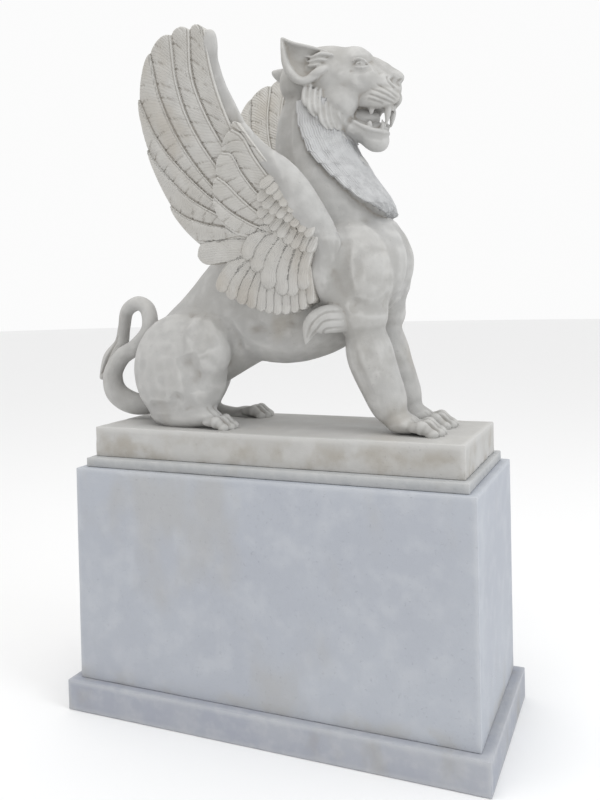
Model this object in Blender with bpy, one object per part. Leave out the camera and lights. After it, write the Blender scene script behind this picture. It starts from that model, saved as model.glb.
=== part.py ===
"""A seated, winged and snarling lioness carved in pale limestone in one with its slab, on a stone pedestal.

Metres, +Z up. The origin is the middle of the pedestal's underside, on the ground. The lioness faces +X,
her right flank is on the -Y side. The pedestal's sizes are set one by one. The figure is drawn at
DRAWN_HEIGHT above its slab, and its places and thicknesses are shares of that height: FIGURE_HEIGHT
scales them all together.
"""
import math

import bmesh
import bpy
import numpy as np
from mathutils import Vector

# Pedestal and slab
SLAB_LENGTH = 1.400
SLAB_WIDTH = 0.528
SLAB_HEIGHT = 0.112
STEP_LEDGE_END = 0.018
STEP_LEDGE_SIDE = 0.038
STEP_HEIGHT = 0.035
DIE_LEDGE = 0.0285
DIE_HEIGHT = 0.796
BASE_LEDGE = 0.036
BASE_HEIGHT = 0.113
JOINT_GAP = 0.0003

# Figure
DRAWN_HEIGHT = 1.445
FIGURE_HEIGHT = 1.445
FOOT_SINK = 0.006
BODY_VOXEL = 0.0095
CARVED_VOXEL = 0.0075
BODY_SMOOTHING = 9
CARVED_SMOOTHING = 1
FIGURE_TRIANGLES = 8900
SHARP_ANGLE = 35

NEAR, FAR = -1, 1


def clear_scene():
    """Remove every object of the file that the script runs in."""
    for old in list(bpy.data.objects):
        bpy.data.objects.remove(old, do_unlink=True)


def catmull_rom(points, samples):
    """Points at the given shares of a smooth curve through all of points."""
    points = np.asarray(points, float)
    ends = np.vstack([2 * points[0] - points[1], points, 2 * points[-1] - points[-2]])
    place = np.asarray(samples) * (len(points) - 1)
    first = np.minimum(place.astype(int), len(points) - 2)
    t = (place - first)[:, None]
    p0, p1, p2, p3 = ends[first], ends[first + 1], ends[first + 2], ends[first + 3]
    return 0.5 * (2 * p1 + (p2 - p0) * t + (2 * p0 - 5 * p1 + 4 * p2 - p3) * t ** 2
                  + (3 * p1 - p0 - 3 * p2 + p3) * t ** 3)


def ring_shell(rings, first_pole, last_pole):
    """Closed shell of quads from equal rings of points, shut by a fan to a pole at each end."""
    count, around = len(rings), len(rings[0])
    verts = [tuple(p) for ring in rings for p in ring] + [tuple(first_pole), tuple(last_pole)]
    faces = []
    for i in range(count - 1):
        for j in range(around):
            k = (j + 1) % around
            faces.append((i * around + j, i * around + k, (i + 1) * around + k, (i + 1) * around + j))
    for j in range(around):
        k = (j + 1) % around
        faces.append((k, j, count * around))
        faces.append(((count - 1) * around + j, (count - 1) * around + k, count * around + 1))
    return verts, faces


def mass(stations, bluntness=3.0, around=18, along=16):
    """A rounded body swept along a spine, its ends closed like an egg's.

    Each station is x, y, height, half width across and half depth. A higher bluntness keeps the
    thickness nearer to both ends.
    """
    turn = np.linspace(0, math.pi, along + 2)[1:-1]
    share = (1 - np.cos(turn)) / 2
    path = catmull_rom(stations, share)
    tangent = np.gradient(catmull_rom(stations, np.linspace(0, 1, 101))[:, :3], axis=0)
    tangent = tangent[np.round(share * 100).astype(int)]
    tangent /= np.linalg.norm(tangent, axis=1)[:, None]
    across = np.array([0.0, 1.0, 0.0]) - tangent * tangent[:, 1:2]
    across /= np.linalg.norm(across, axis=1)[:, None]
    up = np.cross(across, tangent)
    swell = (1 - np.abs(2 * share - 1) ** bluntness) ** (1 / bluntness)
    swell = np.minimum(swell, np.sin(turn) ** (2 / bluntness))
    angle = np.linspace(0, 2 * math.pi, around, endpoint=False)
    rings = [path[i, :3] + swell[i] * (np.outer(np.cos(angle), across[i]) * path[i, 3]
                                       + np.outer(np.sin(angle), up[i]) * path[i, 4])
             for i in range(along)]
    return ring_shell(rings, stations[0][:3], stations[-1][:3])


def ball(centre, radii, lean=0.0):
    """Ellipsoid at a centre, leaned about the Y axis by an angle in degrees."""
    ca, sa = math.cos(math.radians(lean)), math.sin(math.radians(lean))
    shell = bmesh.new()
    bmesh.ops.create_uvsphere(shell, u_segments=20, v_segments=14, radius=1.0)
    verts = []
    for v in shell.verts:
        x, y, z = v.co.x * radii[0], v.co.y * radii[1], v.co.z * radii[2]
        verts.append((centre[0] + x * ca - z * sa, centre[1] + y, centre[2] + x * sa + z * ca))
    faces = [tuple(v.index for v in f.verts) for f in shell.faces]
    shell.free()
    return verts, faces


def mirrored(stations, side):
    """Stations of a limb on one side: y is a distance from the middle plane."""
    return [(s[0], side * s[1]) + tuple(s[2:]) for s in stations]


def wing_rise(height):
    """Share of the way up the free part of the wing."""
    return np.clip((height - WING_FOOT) / (WING_TOP - WING_FOOT), 0, 1)


def on_wing(x, height, proud, side):
    """Point on the wing from its place in side view: the wing spreads out and sweeps forward as it rises."""
    rise = wing_rise(height)
    y = side * (WING_ROOT_OUT + WING_SPREAD * rise + proud)
    return np.stack([x + WING_SWEEP * rise, y, height - WING_DROP * rise], axis=-1)


def sheet_shell(front, back):
    """Closed shell between two equal grids of points, front and back, with walls along their edges."""
    along, across = front.shape[:2]
    verts = [tuple(p) for grid in (front, back) for p in grid.reshape(-1, 3)]
    size = along * across
    faces = []
    for i in range(along - 1):
        for j in range(across - 1):
            a = i * across + j
            faces.append((a, a + 1, a + across + 1, a + across))
            faces.append((size + a, size + a + across, size + a + across + 1, size + a + 1))
    edge = ([i * across for i in range(along)]
            + [(along - 1) * across + j for j in range(1, across)]
            + [i * across + across - 1 for i in range(along - 2, -1, -1)]
            + [j for j in range(across - 2, 0, -1)])
    for a, b in zip(edge, edge[1:] + edge[:1]):
        faces.append((a, b, size + b, size + a))
    return verts, faces


def feather_shell(place, share, t, lift, side, thick, crown, tilt):
    """Leaf on the wing from its points in the wing's plane: shares run root to tip, t from edge to edge.

    It stands proud of the wing's face by lift at its tip. tilt raises its upper edge and lowers the
    other, so that neighbours lap like shingles.
    """
    proud = lift * (0.35 + 0.65 * share[:, None]) + crown * (1 - t ** 2) + tilt * t
    front = on_wing(place[..., 0], place[..., 1], proud, side)
    back = on_wing(place[..., 0], place[..., 1], -thick - proud * 0.6, side)
    return sheet_shell(front, back)


def wing_stations(stations, side):
    """Stations drawn in the wing's side view, x, proud, height and radii, set on the wing."""
    return [(*on_wing(x, height, proud, side), across, deep) for x, proud, height, across, deep in stations]


def tile_feather(root, tip, half_width, lift, side, thick, along=10, across=7):
    """A straight feather with a round tip and a narrower root."""
    root, tip = np.array(root), np.array(tip)
    length = np.linalg.norm(tip - root)
    share = 1 - (1 - np.linspace(0, 1, along)) ** 1.8
    t = np.linspace(-1, 1, across)
    run = (tip - root) / length
    normal = np.array([-run[1], run[0]])
    round_off = np.clip(1 - (1 - share) * length / half_width, 0, 1)
    width = half_width * np.sqrt(1.02 - round_off ** 2) * (0.7 + 0.3 * np.clip(share / 0.5, 0, 1))
    place = root + share[:, None, None] * (tip - root) + width[:, None, None] * t[None, :, None] * normal
    return feather_shell(place, share, t, lift, side, thick, TILE_CROWN, 0.0)


def band_feather(upper, lower, lift, bulge, side, along=14, across=7):
    """A long feather that fills the band between two neighbouring shaft lines, its tip bulging past them."""
    share = np.linspace(0, 1, along)
    t = np.linspace(-1, 1, across)
    top, low = catmull_rom(upper, share), catmull_rom(lower, share)
    middle, half = (top + low) / 2, (top - low) / 2
    run = np.gradient(middle, axis=0)[-1]
    run /= np.linalg.norm(run)
    place = middle[:, None, :] + BAND_LAP * t[None, :, None] * half[:, None, :]
    reach = bulge * (share[:, None] ** 3) * (1 - np.abs(t[None, :]) ** 2.6)
    return feather_shell(place + reach[..., None] * run, share, t, lift, side, BAND_THICK, BAND_CROWN, BAND_TILT)


# Spine of the trunk from rump to breast: x, y, height, half width, half depth
TRUNK = [(-0.545, 0, 0.140, 0.140, 0.120), (-0.435, 0, 0.235, 0.175, 0.175),
         (-0.300, 0, 0.350, 0.165, 0.195), (-0.150, 0, 0.470, 0.170, 0.225),
         (0.000, 0, 0.560, 0.188, 0.265), (0.140, 0, 0.620, 0.200, 0.285),
         (0.265, 0, 0.635, 0.192, 0.255), (0.425, 0, 0.605, 0.145, 0.180)]
BREAST = ((0.292, 0, 0.600), (0.185, 0.160, 0.195))
BELLY = [(-0.400, 0, 0.200, 0.120, 0.080), (-0.190, 0, 0.331, 0.135, 0.098),
         (0.000, 0, 0.343, 0.145, 0.108), (0.150, 0, 0.372, 0.140, 0.108), (0.300, 0, 0.430, 0.130, 0.110)]
NECK = [(0.170, 0, 0.620, 0.190, 0.230), (0.170, 0, 0.770, 0.185, 0.232),
        (0.160, 0, 0.880, 0.172, 0.203), (0.140, 0, 0.990, 0.152, 0.176),
        (0.120, 0, 1.100, 0.134, 0.155), (0.115, 0, 1.230, 0.120, 0.140)]
RUMP = ((-0.455, 0, 0.190), (0.180, 0.190, 0.200))
SKULL = ((0.165, 0, 1.272), (0.180, 0.118, 0.121))
FACE = [(0.170, 0, 1.240, 0.105, 0.100), (0.290, 0, 1.243, 0.094, 0.094),
        (0.365, 0, 1.218, 0.072, 0.078), (0.456, 0, 1.200, 0.058, 0.066)]
FOREHEAD = ((0.262, 0, 1.282), (0.092, 0.092, 0.080))
NOSE = [(0.250, 0, 1.295, 0.050, 0.050), (0.335, 0, 1.296, 0.038, 0.044), (0.405, 0, 1.256, 0.033, 0.032),
        (0.454, 0, 1.236, 0.034, 0.028)]
WHISKER_PAD = ((0.390, 0.042, 1.178), (0.062, 0.034, 0.040))
CHEEK = ((0.215, 0.062, 1.175), (0.105, 0.062, 0.085))
JAW = [(0.180, 0, 1.125, 0.100, 0.070), (0.262, 0, 1.078, 0.084, 0.050),
       (0.330, 0, 1.056, 0.064, 0.040), (0.398, 0, 1.050, 0.048, 0.036)]
CHIN = ((0.354, 0, 1.036), (0.048, 0.046, 0.047))
BROW = [(0.262, 0.062, 1.336, 0.022, 0.014), (0.306, 0.066, 1.328, 0.020, 0.013),
        (0.346, 0.050, 1.310, 0.014, 0.010)]
EYE = ((0.318, 0.067, 1.293), (0.022, 0.016, 0.012))

# The far hind leg is drawn back: its thigh, its knee and its shank by these lengths
FAR_THIGH_BACK = 0.110
FAR_KNEE_BACK = 0.136
FAR_SHANK_BACK = 0.255
THIGH = ((-0.398, 0.135, 0.215), (0.197, 0.108, 0.215))
KNEE = ((-0.274, 0.160, 0.298), (0.106, 0.078, 0.122))
SHANK = [(-0.264, 0.165, 0.300, 0.055, 0.075), (-0.292, 0.172, 0.180, 0.050, 0.060),
         (-0.302, 0.172, 0.060, 0.050, 0.056)]
HIND_FOOT = [(-0.520, 0.150, 0.050, 0.050, 0.052), (-0.400, 0.160, 0.046, 0.052, 0.048),
             (-0.290, 0.165, 0.052, 0.052, 0.045), (-0.205, 0.165, 0.034, 0.056, 0.034)]
FAR_HIND_FOOT = [(-0.560, 0.150, 0.045, 0.050, 0.050), (-0.440, 0.162, 0.028, 0.050, 0.036),
                 (-0.320, 0.168, 0.012, 0.046, 0.026), (-0.262, 0.168, 0.022, 0.054, 0.028),
                 (-0.205, 0.168, 0.016, 0.054, 0.022)]
SHOULDER = ((0.290, 0.120, 0.560), (0.150, 0.092, 0.185))
UPPER_ARM = [(0.270, 0.125, 0.560, 0.085, 0.130), (0.315, 0.118, 0.430, 0.080, 0.105),
             (0.332, 0.110, 0.340, 0.074, 0.092)]
FOREARM = [(0.322, 0.108, 0.420, 0.080, 0.094), (0.338, 0.108, 0.310, 0.078, 0.094),
           (0.360, 0.106, 0.230, 0.071, 0.082), (0.388, 0.104, 0.160, 0.066, 0.075),
           (0.412, 0.102, 0.095, 0.068, 0.076), (0.430, 0.100, 0.035, 0.072, 0.068)]
FORE_FOOT = [(0.400, 0.100, 0.042, 0.062, 0.042), (0.470, 0.098, 0.050, 0.070, 0.046),
             (0.540, 0.096, 0.034, 0.074, 0.034)]

TAIL = [(-0.560, 0.000, 0.070, 0.056, 0.056), (-0.665, -0.030, 0.066, 0.055, 0.054),
        (-0.740, -0.050, 0.108, 0.050, 0.050), (-0.754, -0.058, 0.185, 0.042, 0.041),
        (-0.710, -0.058, 0.256, 0.036, 0.036), (-0.640, -0.055, 0.300, 0.033, 0.033),
        (-0.584, -0.050, 0.365, 0.032, 0.032), (-0.594, -0.035, 0.440, 0.032, 0.031),
        (-0.652, -0.015, 0.470, 0.031, 0.030), (-0.716, 0.000, 0.440, 0.029, 0.028),
        (-0.740, 0.010, 0.370, 0.027, 0.027), (-0.756, 0.010, 0.305, 0.032, 0.032),
        (-0.806, 0.004, 0.238, 0.038, 0.044), (-0.852, -0.002, 0.158, 0.016, 0.018)]

# Each ear lies between two rims that start on the skull and meet at its tip
EAR_TOP_RIM = [(0.210, 0.096, 1.346), (0.145, 0.118, 1.368), (0.090, 0.124, 1.386)]
EAR_LOW_RIM = [(0.190, 0.116, 1.266), (0.120, 0.142, 1.232), (0.064, 0.138, 1.300)]
EAR_TIP_NEAR = (0.044, 0.128, 1.412)
EAR_TIP_FAR = (0.036, 0.115, 1.445)
EAR_CUP = 0.042
EAR_TIP_THICK = 0.014
EAR_ROOT_THICK = 0.059
NAPE_TUFT = [(0.060, 0, 1.290, 0.040, 0.052), (0.000, 0, 1.300, 0.026, 0.030), (-0.050, 0, 1.302, 0.010, 0.008)]

# Beard panel wrapped round the throat: at each height it reaches this many degrees round each side
BEARD_EDGE = [(1.180, 96), (1.084, 93), (0.991, 86), (0.900, 70), (0.828, 50), (0.790, 26), (0.768, 6)]
BEARD_PROUD_TOP = 0.013
BEARD_PROUD_TIP = 0.034
BEARD_DEPTH = 0.030
# Hair along the jaw's edge: the first and the last lock's root, how far a lock hangs, its half width and depth
LOCKS = 7
FIRST_LOCK = (0.142, 0.154, 1.200)
LAST_LOCK = (0.300, 0.104, 1.112)
LOCK_DROP = 0.066
LOCK_SWELL = 0.010
LOCK_HALF_WIDTH = 0.010
LOCK_HALF_DEPTH = 0.014
LOCK_CURL = 0.012
ELBOW_TUFT = [(0.300, 0.178, 0.400, 0.030, 0.060), (0.235, 0.195, 0.408, 0.030, 0.052),
              (0.172, 0.200, 0.385, 0.027, 0.040), (0.142, 0.200, 0.318, 0.012, 0.012)]

# Toes of each foot: where they start along it, its middle, half their spread, their reach and half thickness
FORE_TOES = (0.505, 0.096, 0.052, 0.090, 0.022)
HIND_TOES = (-0.245, 0.163, 0.038, 0.072, 0.017)

# The wing's plane: how far out it starts, how far it spreads out, sweeps forward and drops towards its top
WING_FOOT = 0.450
WING_TOP = 1.400
WING_ROOT_OUT = 0.215
WING_SPREAD = 0.230
WING_SWEEP = 0.020
WING_DROP = 0.012
# Long feathers of both rows: share of its band that one fills, thickness, crown and how far it laps the next
BAND_LAP = 1.10
BAND_THICK = 0.036
BAND_CROWN = 0.004
BAND_TILT = 0.006
PRIMARY_LIFT = 0.003
PRIMARY_BULGE = 0.022
SECOND_LIFT = 0.017
SECOND_BULGE = 0.016
# Round-tipped feathers: length, half width, how far the tip stands proud, thickness
BACK_FAN_FEATHER = (0.260, 0.026, 0.004, 0.050)
FRONT_FAN_FEATHER = (0.200, 0.030, 0.019, 0.070)
COVERT_FEATHER = (0.090, 0.021, 0.027, 0.080)
COVERT_STEP = 0.008
FAN_LAP = 0.003
TILE_CROWN = 0.007
# Wing bands run between these shaft lines, each from its root to its notch on the wing's outer edge
SHAFT_LINES = [
    [(0.060, 0.850), (-0.010, 0.985), (-0.055, 1.150), (-0.070, 1.290), (-0.085, 1.385)],
    [(0.030, 0.830), (-0.080, 0.985), (-0.150, 1.120), (-0.186, 1.250), (-0.176, 1.392)],
    [(0.010, 0.800), (-0.110, 0.920), (-0.205, 1.075), (-0.246, 1.225), (-0.248, 1.385)],
    [(0.000, 0.780), (-0.133, 0.859), (-0.250, 1.015), (-0.318, 1.180), (-0.338, 1.335)],
    [(-0.010, 0.760), (-0.134, 0.818), (-0.260, 0.935), (-0.350, 1.055), (-0.402, 1.190)],
    [(-0.020, 0.740), (-0.132, 0.776), (-0.250, 0.845), (-0.340, 0.940), (-0.392, 1.015)],
    [(-0.020, 0.720), (-0.144, 0.739), (-0.215, 0.756), (-0.275, 0.780), (-0.326, 0.818)],
    [(-0.010, 0.690), (-0.078, 0.699), (-0.140, 0.690), (-0.190, 0.686), (-0.240, 0.690)],
]
SECOND_LINES = [
    [(0.150, 0.820), (0.100, 0.900), (0.045, 0.975), (0.005, 1.035), (-0.025, 1.080)],
    [(0.140, 0.800), (0.085, 0.866), (0.023, 0.958), (-0.012, 1.030), (-0.048, 1.058)],
    [(0.100, 0.775), (0.024, 0.836), (-0.030, 0.909), (-0.060, 0.975), (-0.094, 0.985)],
    [(0.080, 0.735), (0.010, 0.780), (-0.045, 0.830), (-0.090, 0.880), (-0.122, 0.905)],
    [(0.060, 0.712), (-0.003, 0.735), (-0.070, 0.773), (-0.110, 0.805), (-0.142, 0.838)],
    [(0.060, 0.690), (0.000, 0.696), (-0.055, 0.705), (-0.095, 0.722), (-0.132, 0.755)],
]
FAN_BACK_TIPS = [(-0.240, 0.632), (-0.168, 0.503), (-0.128, 0.470), (-0.086, 0.450), (-0.045, 0.440),
                 (-0.008, 0.430), (0.030, 0.427), (0.074, 0.422), (0.120, 0.433), (0.168, 0.456)]
FAN_BACK_FOCUS = (0.095, 0.760)
FAN_FRONT_TIPS = [(-0.058, 0.622), (-0.026, 0.580), (0.012, 0.536), (0.056, 0.502), (0.096, 0.490),
                  (0.138, 0.490)]
FAN_FRONT_FOCUS = (0.165, 0.760)
COVERT_TIPS = [
    [(0.020, 0.742), (0.045, 0.718), (0.072, 0.697), (0.098, 0.676), (0.126, 0.655), (0.156, 0.640),
     (0.184, 0.634)],
    [(0.052, 0.790), (0.078, 0.768), (0.104, 0.748), (0.130, 0.730), (0.154, 0.712), (0.178, 0.694),
     (0.200, 0.680)],
    [(0.096, 0.832), (0.122, 0.806), (0.148, 0.782), (0.172, 0.758), (0.196, 0.734)],
]
COVERT_FOCUS = (0.215, 0.850)
WING_ARM = [(0.265, -0.085, 0.540, 0.055, 0.060), (0.240, -0.052, 0.660, 0.052, 0.056),
            (0.190, -0.030, 0.795, 0.045, 0.050), (0.120, -0.025, 0.905, 0.036, 0.042),
            (0.030, -0.022, 0.990, 0.030, 0.034), (-0.045, -0.020, 1.110, 0.026, 0.026)]
LEADING_EDGE = [(-0.030, -0.020, 1.065, 0.022, 0.026), (-0.080, -0.020, 1.190, 0.021, 0.022),
                (-0.100, -0.018, 1.290, 0.020, 0.020), (-0.122, -0.018, 1.375, 0.020, 0.020)]


def fan(tips, focus, feather, row_lift, side):
    """Round-tipped feathers that point away from a focus and lap like tiles."""
    length, half_width, lift, thick = feather
    shells = []
    for number, tip in enumerate(tips):
        away = np.array(focus) - np.array(tip)
        root = np.array(tip) + away / np.linalg.norm(away) * length
        shells.append(tile_feather(root, tip, half_width, lift + row_lift + FAN_LAP * (number % 2), side, thick))
    return shells


def wing(side):
    """One wing: long primaries, a second row, two fans, coverts and the smooth leading edge."""
    shells = []
    for upper, lower in zip(SHAFT_LINES, SHAFT_LINES[1:]):
        shells.append(band_feather(upper, lower, PRIMARY_LIFT, PRIMARY_BULGE, side))
    for upper, lower in zip(SECOND_LINES, SECOND_LINES[1:]):
        shells.append(band_feather(upper, lower, SECOND_LIFT, SECOND_BULGE, side))
    shells += fan(FAN_BACK_TIPS, FAN_BACK_FOCUS, BACK_FAN_FEATHER, 0.0, side)
    shells += fan(FAN_FRONT_TIPS, FAN_FRONT_FOCUS, FRONT_FAN_FEATHER, 0.0, side)
    for row, tips in enumerate(COVERT_TIPS):
        shells += fan(tips, COVERT_FOCUS, COVERT_FEATHER, COVERT_STEP * row, side)
    shells.append(mass(wing_stations(LEADING_EDGE, side), around=12))
    return shells


def beard():
    """The beard's panel, a thick shell laid over the neck from the jaw to a point on the breast."""
    share = np.linspace(0, 1, 20)
    heights = np.array([edge[0] for edge in BEARD_EDGE])
    height = heights[0] + (heights[-1] - heights[0]) * share
    reach = np.radians(np.interp(-height, -heights, [edge[1] for edge in BEARD_EDGE]))
    neck = np.array(NECK)
    middle, wide, deep = (np.interp(height, neck[:, 2], neck[:, k])[:, None] for k in (0, 3, 4))
    angle = reach[:, None] * np.linspace(-1, 1, 25)[None, :]
    proud = BEARD_PROUD_TOP + (BEARD_PROUD_TIP - BEARD_PROUD_TOP) * share[:, None] ** 2
    front, back = (np.stack([middle + (deep + off) * np.cos(angle), (wide + off) * np.sin(angle),
                             height[:, None] + 0 * angle], axis=2) for off in (proud, proud - BEARD_DEPTH))
    return sheet_shell(front, back)


def ear(tip, side):
    """A big pointed ear laid back, cupped outwards, from its root on the skull to its tip."""
    share, t = np.linspace(0, 1, 10), np.linspace(-1, 1, 11)
    top, low = catmull_rom([*EAR_TOP_RIM, tip], share), catmull_rom([*EAR_LOW_RIM, tip], share)
    middle, half = (top + low) / 2, (top - low) / 2
    front = middle[:, None, :] + t[None, :, None] * half[:, None, :]
    front[..., 1] -= EAR_CUP * (1 - t[None, :] ** 2) * (1 - share[:, None] ** 2)
    back = front.copy()
    back[..., 1] -= EAR_ROOT_THICK + (EAR_TIP_THICK - EAR_ROOT_THICK) * share[:, None]
    for grid in (front, back):
        grid[..., 1] *= side
    return sheet_shell(front, back)


def toes(centre_x, centre_y, spread, reach, size, side):
    """Four toes in front of a foot, each with a knuckle and a low tip."""
    shells = []
    for number in range(4):
        offset = (number - 1.5) / 1.5
        y = centre_y + offset * spread
        x = centre_x + reach * (1 - 0.16 * offset ** 2)
        stations = [(centre_x - size, y, size * 1.7, size, size), (x - size * 1.4, y, size * 1.75, size, size),
                    (x, y, size * 0.72, size * 0.86, size * 0.72)]
        shells.append(mass(mirrored(stations, side), around=10, along=8))
    return shells


def cheek_locks(side):
    """Curved locks of hair hanging along the edge of the jaw, over the beard."""
    shells = []
    wide, deep = LOCK_HALF_WIDTH, LOCK_HALF_DEPTH
    for share in np.linspace(0, 1, LOCKS):
        x, y, height = np.array(FIRST_LOCK) + (np.array(LAST_LOCK) - np.array(FIRST_LOCK)) * share
        drop = LOCK_DROP + LOCK_SWELL * math.sin(math.pi * share)
        stations = [(x, y - wide, height + LOCK_CURL, wide, deep), (x - wide, y, height - drop / 2, wide, deep),
                    (x + LOCK_CURL, y, height - drop, wide / 2, deep / 3)]
        shells.append(mass(mirrored(stations, side), around=8, along=8))
    return shells


def body_masses():
    """The broad masses of the animal, which smoothing runs together."""
    shells = [mass(TRUNK, around=24, along=24), mass(NECK, around=24, along=16, bluntness=5), ball(*RUMP),
              mass(BELLY), ball(*BREAST), ball(*SKULL), ball(*FOREHEAD), mass(FACE, around=20, along=14),
              mass(JAW, around=16)]
    for side in (NEAR, FAR):
        back = (FAR_THIGH_BACK, FAR_KNEE_BACK, FAR_SHANK_BACK) if side == FAR else (0, 0, 0)
        for (x, y, height), radii, shift in ((*THIGH, back[0]), (*KNEE, back[1]), (*SHOULDER, 0), (*CHEEK, 0)):
            shells.append(ball((x - shift, side * y, height), radii))
        shank = [(x - back[2], *rest) for x, *rest in mirrored(SHANK, side)]
        for stations in (shank, mirrored(UPPER_ARM, side), mirrored(FOREARM, side)):
            shells.append(mass(stations, around=16))
        for stations in (FAR_HIND_FOOT if side == FAR else HIND_FOOT, FORE_FOOT):
            shells.append(mass(mirrored(stations, side), around=14))
        shells.append(mass(wing_stations(WING_ARM, side), around=16))
    return shells


def carved_masses():
    """The thinner and sharper parts, which keep their edges."""
    shells = [mass(TAIL, around=12, along=56, bluntness=6), mass(NAPE_TUFT, around=10, along=8),
              beard(), mass(NOSE, around=12, along=8), ball(*CHIN)]
    for side, tip in ((NEAR, EAR_TIP_NEAR), (FAR, EAR_TIP_FAR)):
        shells.append(ear(tip, side))
        shells.append(mass(mirrored(ELBOW_TUFT, side), around=12))
        shells.append(mass(mirrored(BROW, side), around=10, along=8))
        for (x, y, height), radii in (WHISKER_PAD, EYE):
            shells.append(ball((x, side * y, height), radii))
        shells += toes(*FORE_TOES, side)
        shells += toes(*HIND_TOES, side)
        shells += cheek_locks(side)
        shells += wing(side)
    return shells


def join_shells(name, shells):
    """One mesh object of many closed shells, each turned outwards."""
    verts, faces = [], []
    for shell_verts, shell_faces in shells:
        start = len(verts)
        verts += shell_verts
        faces += [tuple(start + i for i in face) for face in shell_faces]
    mesh = bpy.data.meshes.new(name)
    mesh.from_pydata(verts, [], faces)
    work = bmesh.new()
    work.from_mesh(mesh)
    bmesh.ops.recalc_face_normals(work, faces=work.faces)
    work.to_mesh(mesh)
    work.free()
    made = bpy.data.objects.new(name, mesh)
    bpy.context.collection.objects.link(made)
    return made


def bake(made):
    """Replace an object's mesh by what its modifiers make of it."""
    graph = bpy.context.evaluated_depsgraph_get()
    graph.update()
    mesh = bpy.data.meshes.new_from_object(made.evaluated_get(graph))
    made.modifiers.clear()
    made.data = mesh


def fuse(made, voxel, smoothing):
    """Run overlapping shells together into one skin and soften it."""
    remesh = made.modifiers.new("fuse", 'REMESH')
    remesh.mode = 'VOXEL'
    remesh.voxel_size = voxel
    if smoothing:
        soften = made.modifiers.new("soften", 'SMOOTH')
        soften.factor = 0.5
        soften.iterations = smoothing
    bake(made)


def mesh_arrays(mesh):
    """Points and faces of a mesh, as a shell."""
    return [tuple(v.co) for v in mesh.vertices], [tuple(p.vertices) for p in mesh.polygons]


def stone(name, colour, roughness):
    """Principled material of one tone of limestone."""
    made = bpy.data.materials.new(name)
    made.use_nodes = True
    shader = made.node_tree.nodes["Principled BSDF"]
    shader.inputs["Base Color"].default_value = (*colour, 1.0)
    shader.inputs["Roughness"].default_value = roughness
    shader.inputs["Metallic"].default_value = 0.0
    return made


def block(name, length, width, bottom, top):
    """Rectangular block on the middle of the pedestal."""
    mesh = bpy.data.meshes.new(name)
    work = bmesh.new()
    bmesh.ops.create_cube(work, size=1.0)
    bmesh.ops.scale(work, vec=Vector((length, width, top - bottom)), verts=work.verts)
    bmesh.ops.translate(work, vec=Vector((0, 0, (top + bottom) / 2)), verts=work.verts)
    work.to_mesh(mesh)
    work.free()
    made = bpy.data.objects.new(name, mesh)
    bpy.context.collection.objects.link(made)
    return made


def largest_body(mesh):
    """Keep only the biggest closed skin of a mesh, so that no bubble stays inside it."""
    work = bmesh.new()
    work.from_mesh(mesh)
    left, groups = set(work.verts), []
    while left:
        group, edge = set(), [left.pop()]
        while edge:
            v = edge.pop()
            group.add(v)
            for link in v.link_edges:
                other = link.other_vert(v)
                if other in left:
                    left.remove(other)
                    edge.append(other)
        groups.append(group)
    keep = max(groups, key=len)
    bmesh.ops.delete(work, geom=[v for v in work.verts if v not in keep], context='VERTS')
    work.to_mesh(mesh)
    work.free()


def lioness(slab_bottom):
    """The figure fused into one skin and united with its slab."""
    slab_top = slab_bottom + SLAB_HEIGHT
    body = join_shells("body", body_masses())
    fuse(body, BODY_VOXEL, BODY_SMOOTHING)
    figure = join_shells("figure", [mesh_arrays(body.data)] + carved_masses())
    bpy.data.objects.remove(body, do_unlink=True)
    fuse(figure, CARVED_VOXEL, CARVED_SMOOTHING)
    largest_body(figure.data)
    thin = figure.modifiers.new("fewer faces", 'DECIMATE')
    thin.ratio = FIGURE_TRIANGLES / (2 * len(figure.data.polygons))
    thin.use_collapse_triangulate = True
    bake(figure)
    scale = FIGURE_HEIGHT / DRAWN_HEIGHT
    for v in figure.data.vertices:
        v.co = v.co * scale + Vector((0, 0, slab_top - FOOT_SINK))
    made = block("lioness", SLAB_LENGTH, SLAB_WIDTH, slab_bottom, slab_top)
    union = made.modifiers.new("carved in one", 'BOOLEAN')
    union.operation = 'UNION'
    union.object = figure
    bake(made)
    bpy.data.objects.remove(figure, do_unlink=True)
    return made


def build():
    """Make the pedestal's three courses and the lioness with her slab."""
    clear_scene()
    step_length, step_width = SLAB_LENGTH + 2 * STEP_LEDGE_END, SLAB_WIDTH + 2 * STEP_LEDGE_SIDE
    die_length, die_width = step_length + 2 * DIE_LEDGE, step_width + 2 * DIE_LEDGE
    base_length, base_width = die_length + 2 * BASE_LEDGE, die_width + 2 * BASE_LEDGE
    base_top = BASE_HEIGHT
    die_top = base_top + DIE_HEIGHT
    step_top = die_top + STEP_HEIGHT
    base = block("base_course", base_length, base_width, 0.0, base_top)
    die = block("die", die_length, die_width, base_top + JOINT_GAP, die_top)
    step = block("cap_step", step_length, step_width, die_top + JOINT_GAP, step_top)
    figure = lioness(step_top + JOINT_GAP)
    for made, colour, roughness in ((base, (0.60, 0.59, 0.56), 0.80), (die, (0.66, 0.67, 0.68), 0.70),
                                    (step, (0.64, 0.61, 0.56), 0.80), (figure, (0.72, 0.70, 0.66), 0.75)):
        made.data.materials.clear()
        made.data.materials.append(stone(made.name + " stone", colour, roughness))
    figure.data.shade_smooth()
    figure.data.set_sharp_from_angle(angle=math.radians(SHARP_ANGLE))


build()
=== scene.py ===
"""Looks of a seated, winged and snarling lioness of pale limestone, on her slab and pedestal.

Metres, +Z up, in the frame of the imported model: the origin is the middle of the pedestal's underside and the
lioness faces +X. Her body is modelled in figure coordinates: x, y and the height above the slab's top.
"""

import logging
import math
from contextlib import contextmanager
from dataclasses import dataclass, field
from enum import Enum
from typing import Iterable, Iterator, Optional, Sequence, Union

import bmesh
import bpy
import numpy as np
from mathutils import Matrix, Vector
from mathutils.kdtree import KDTree


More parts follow.
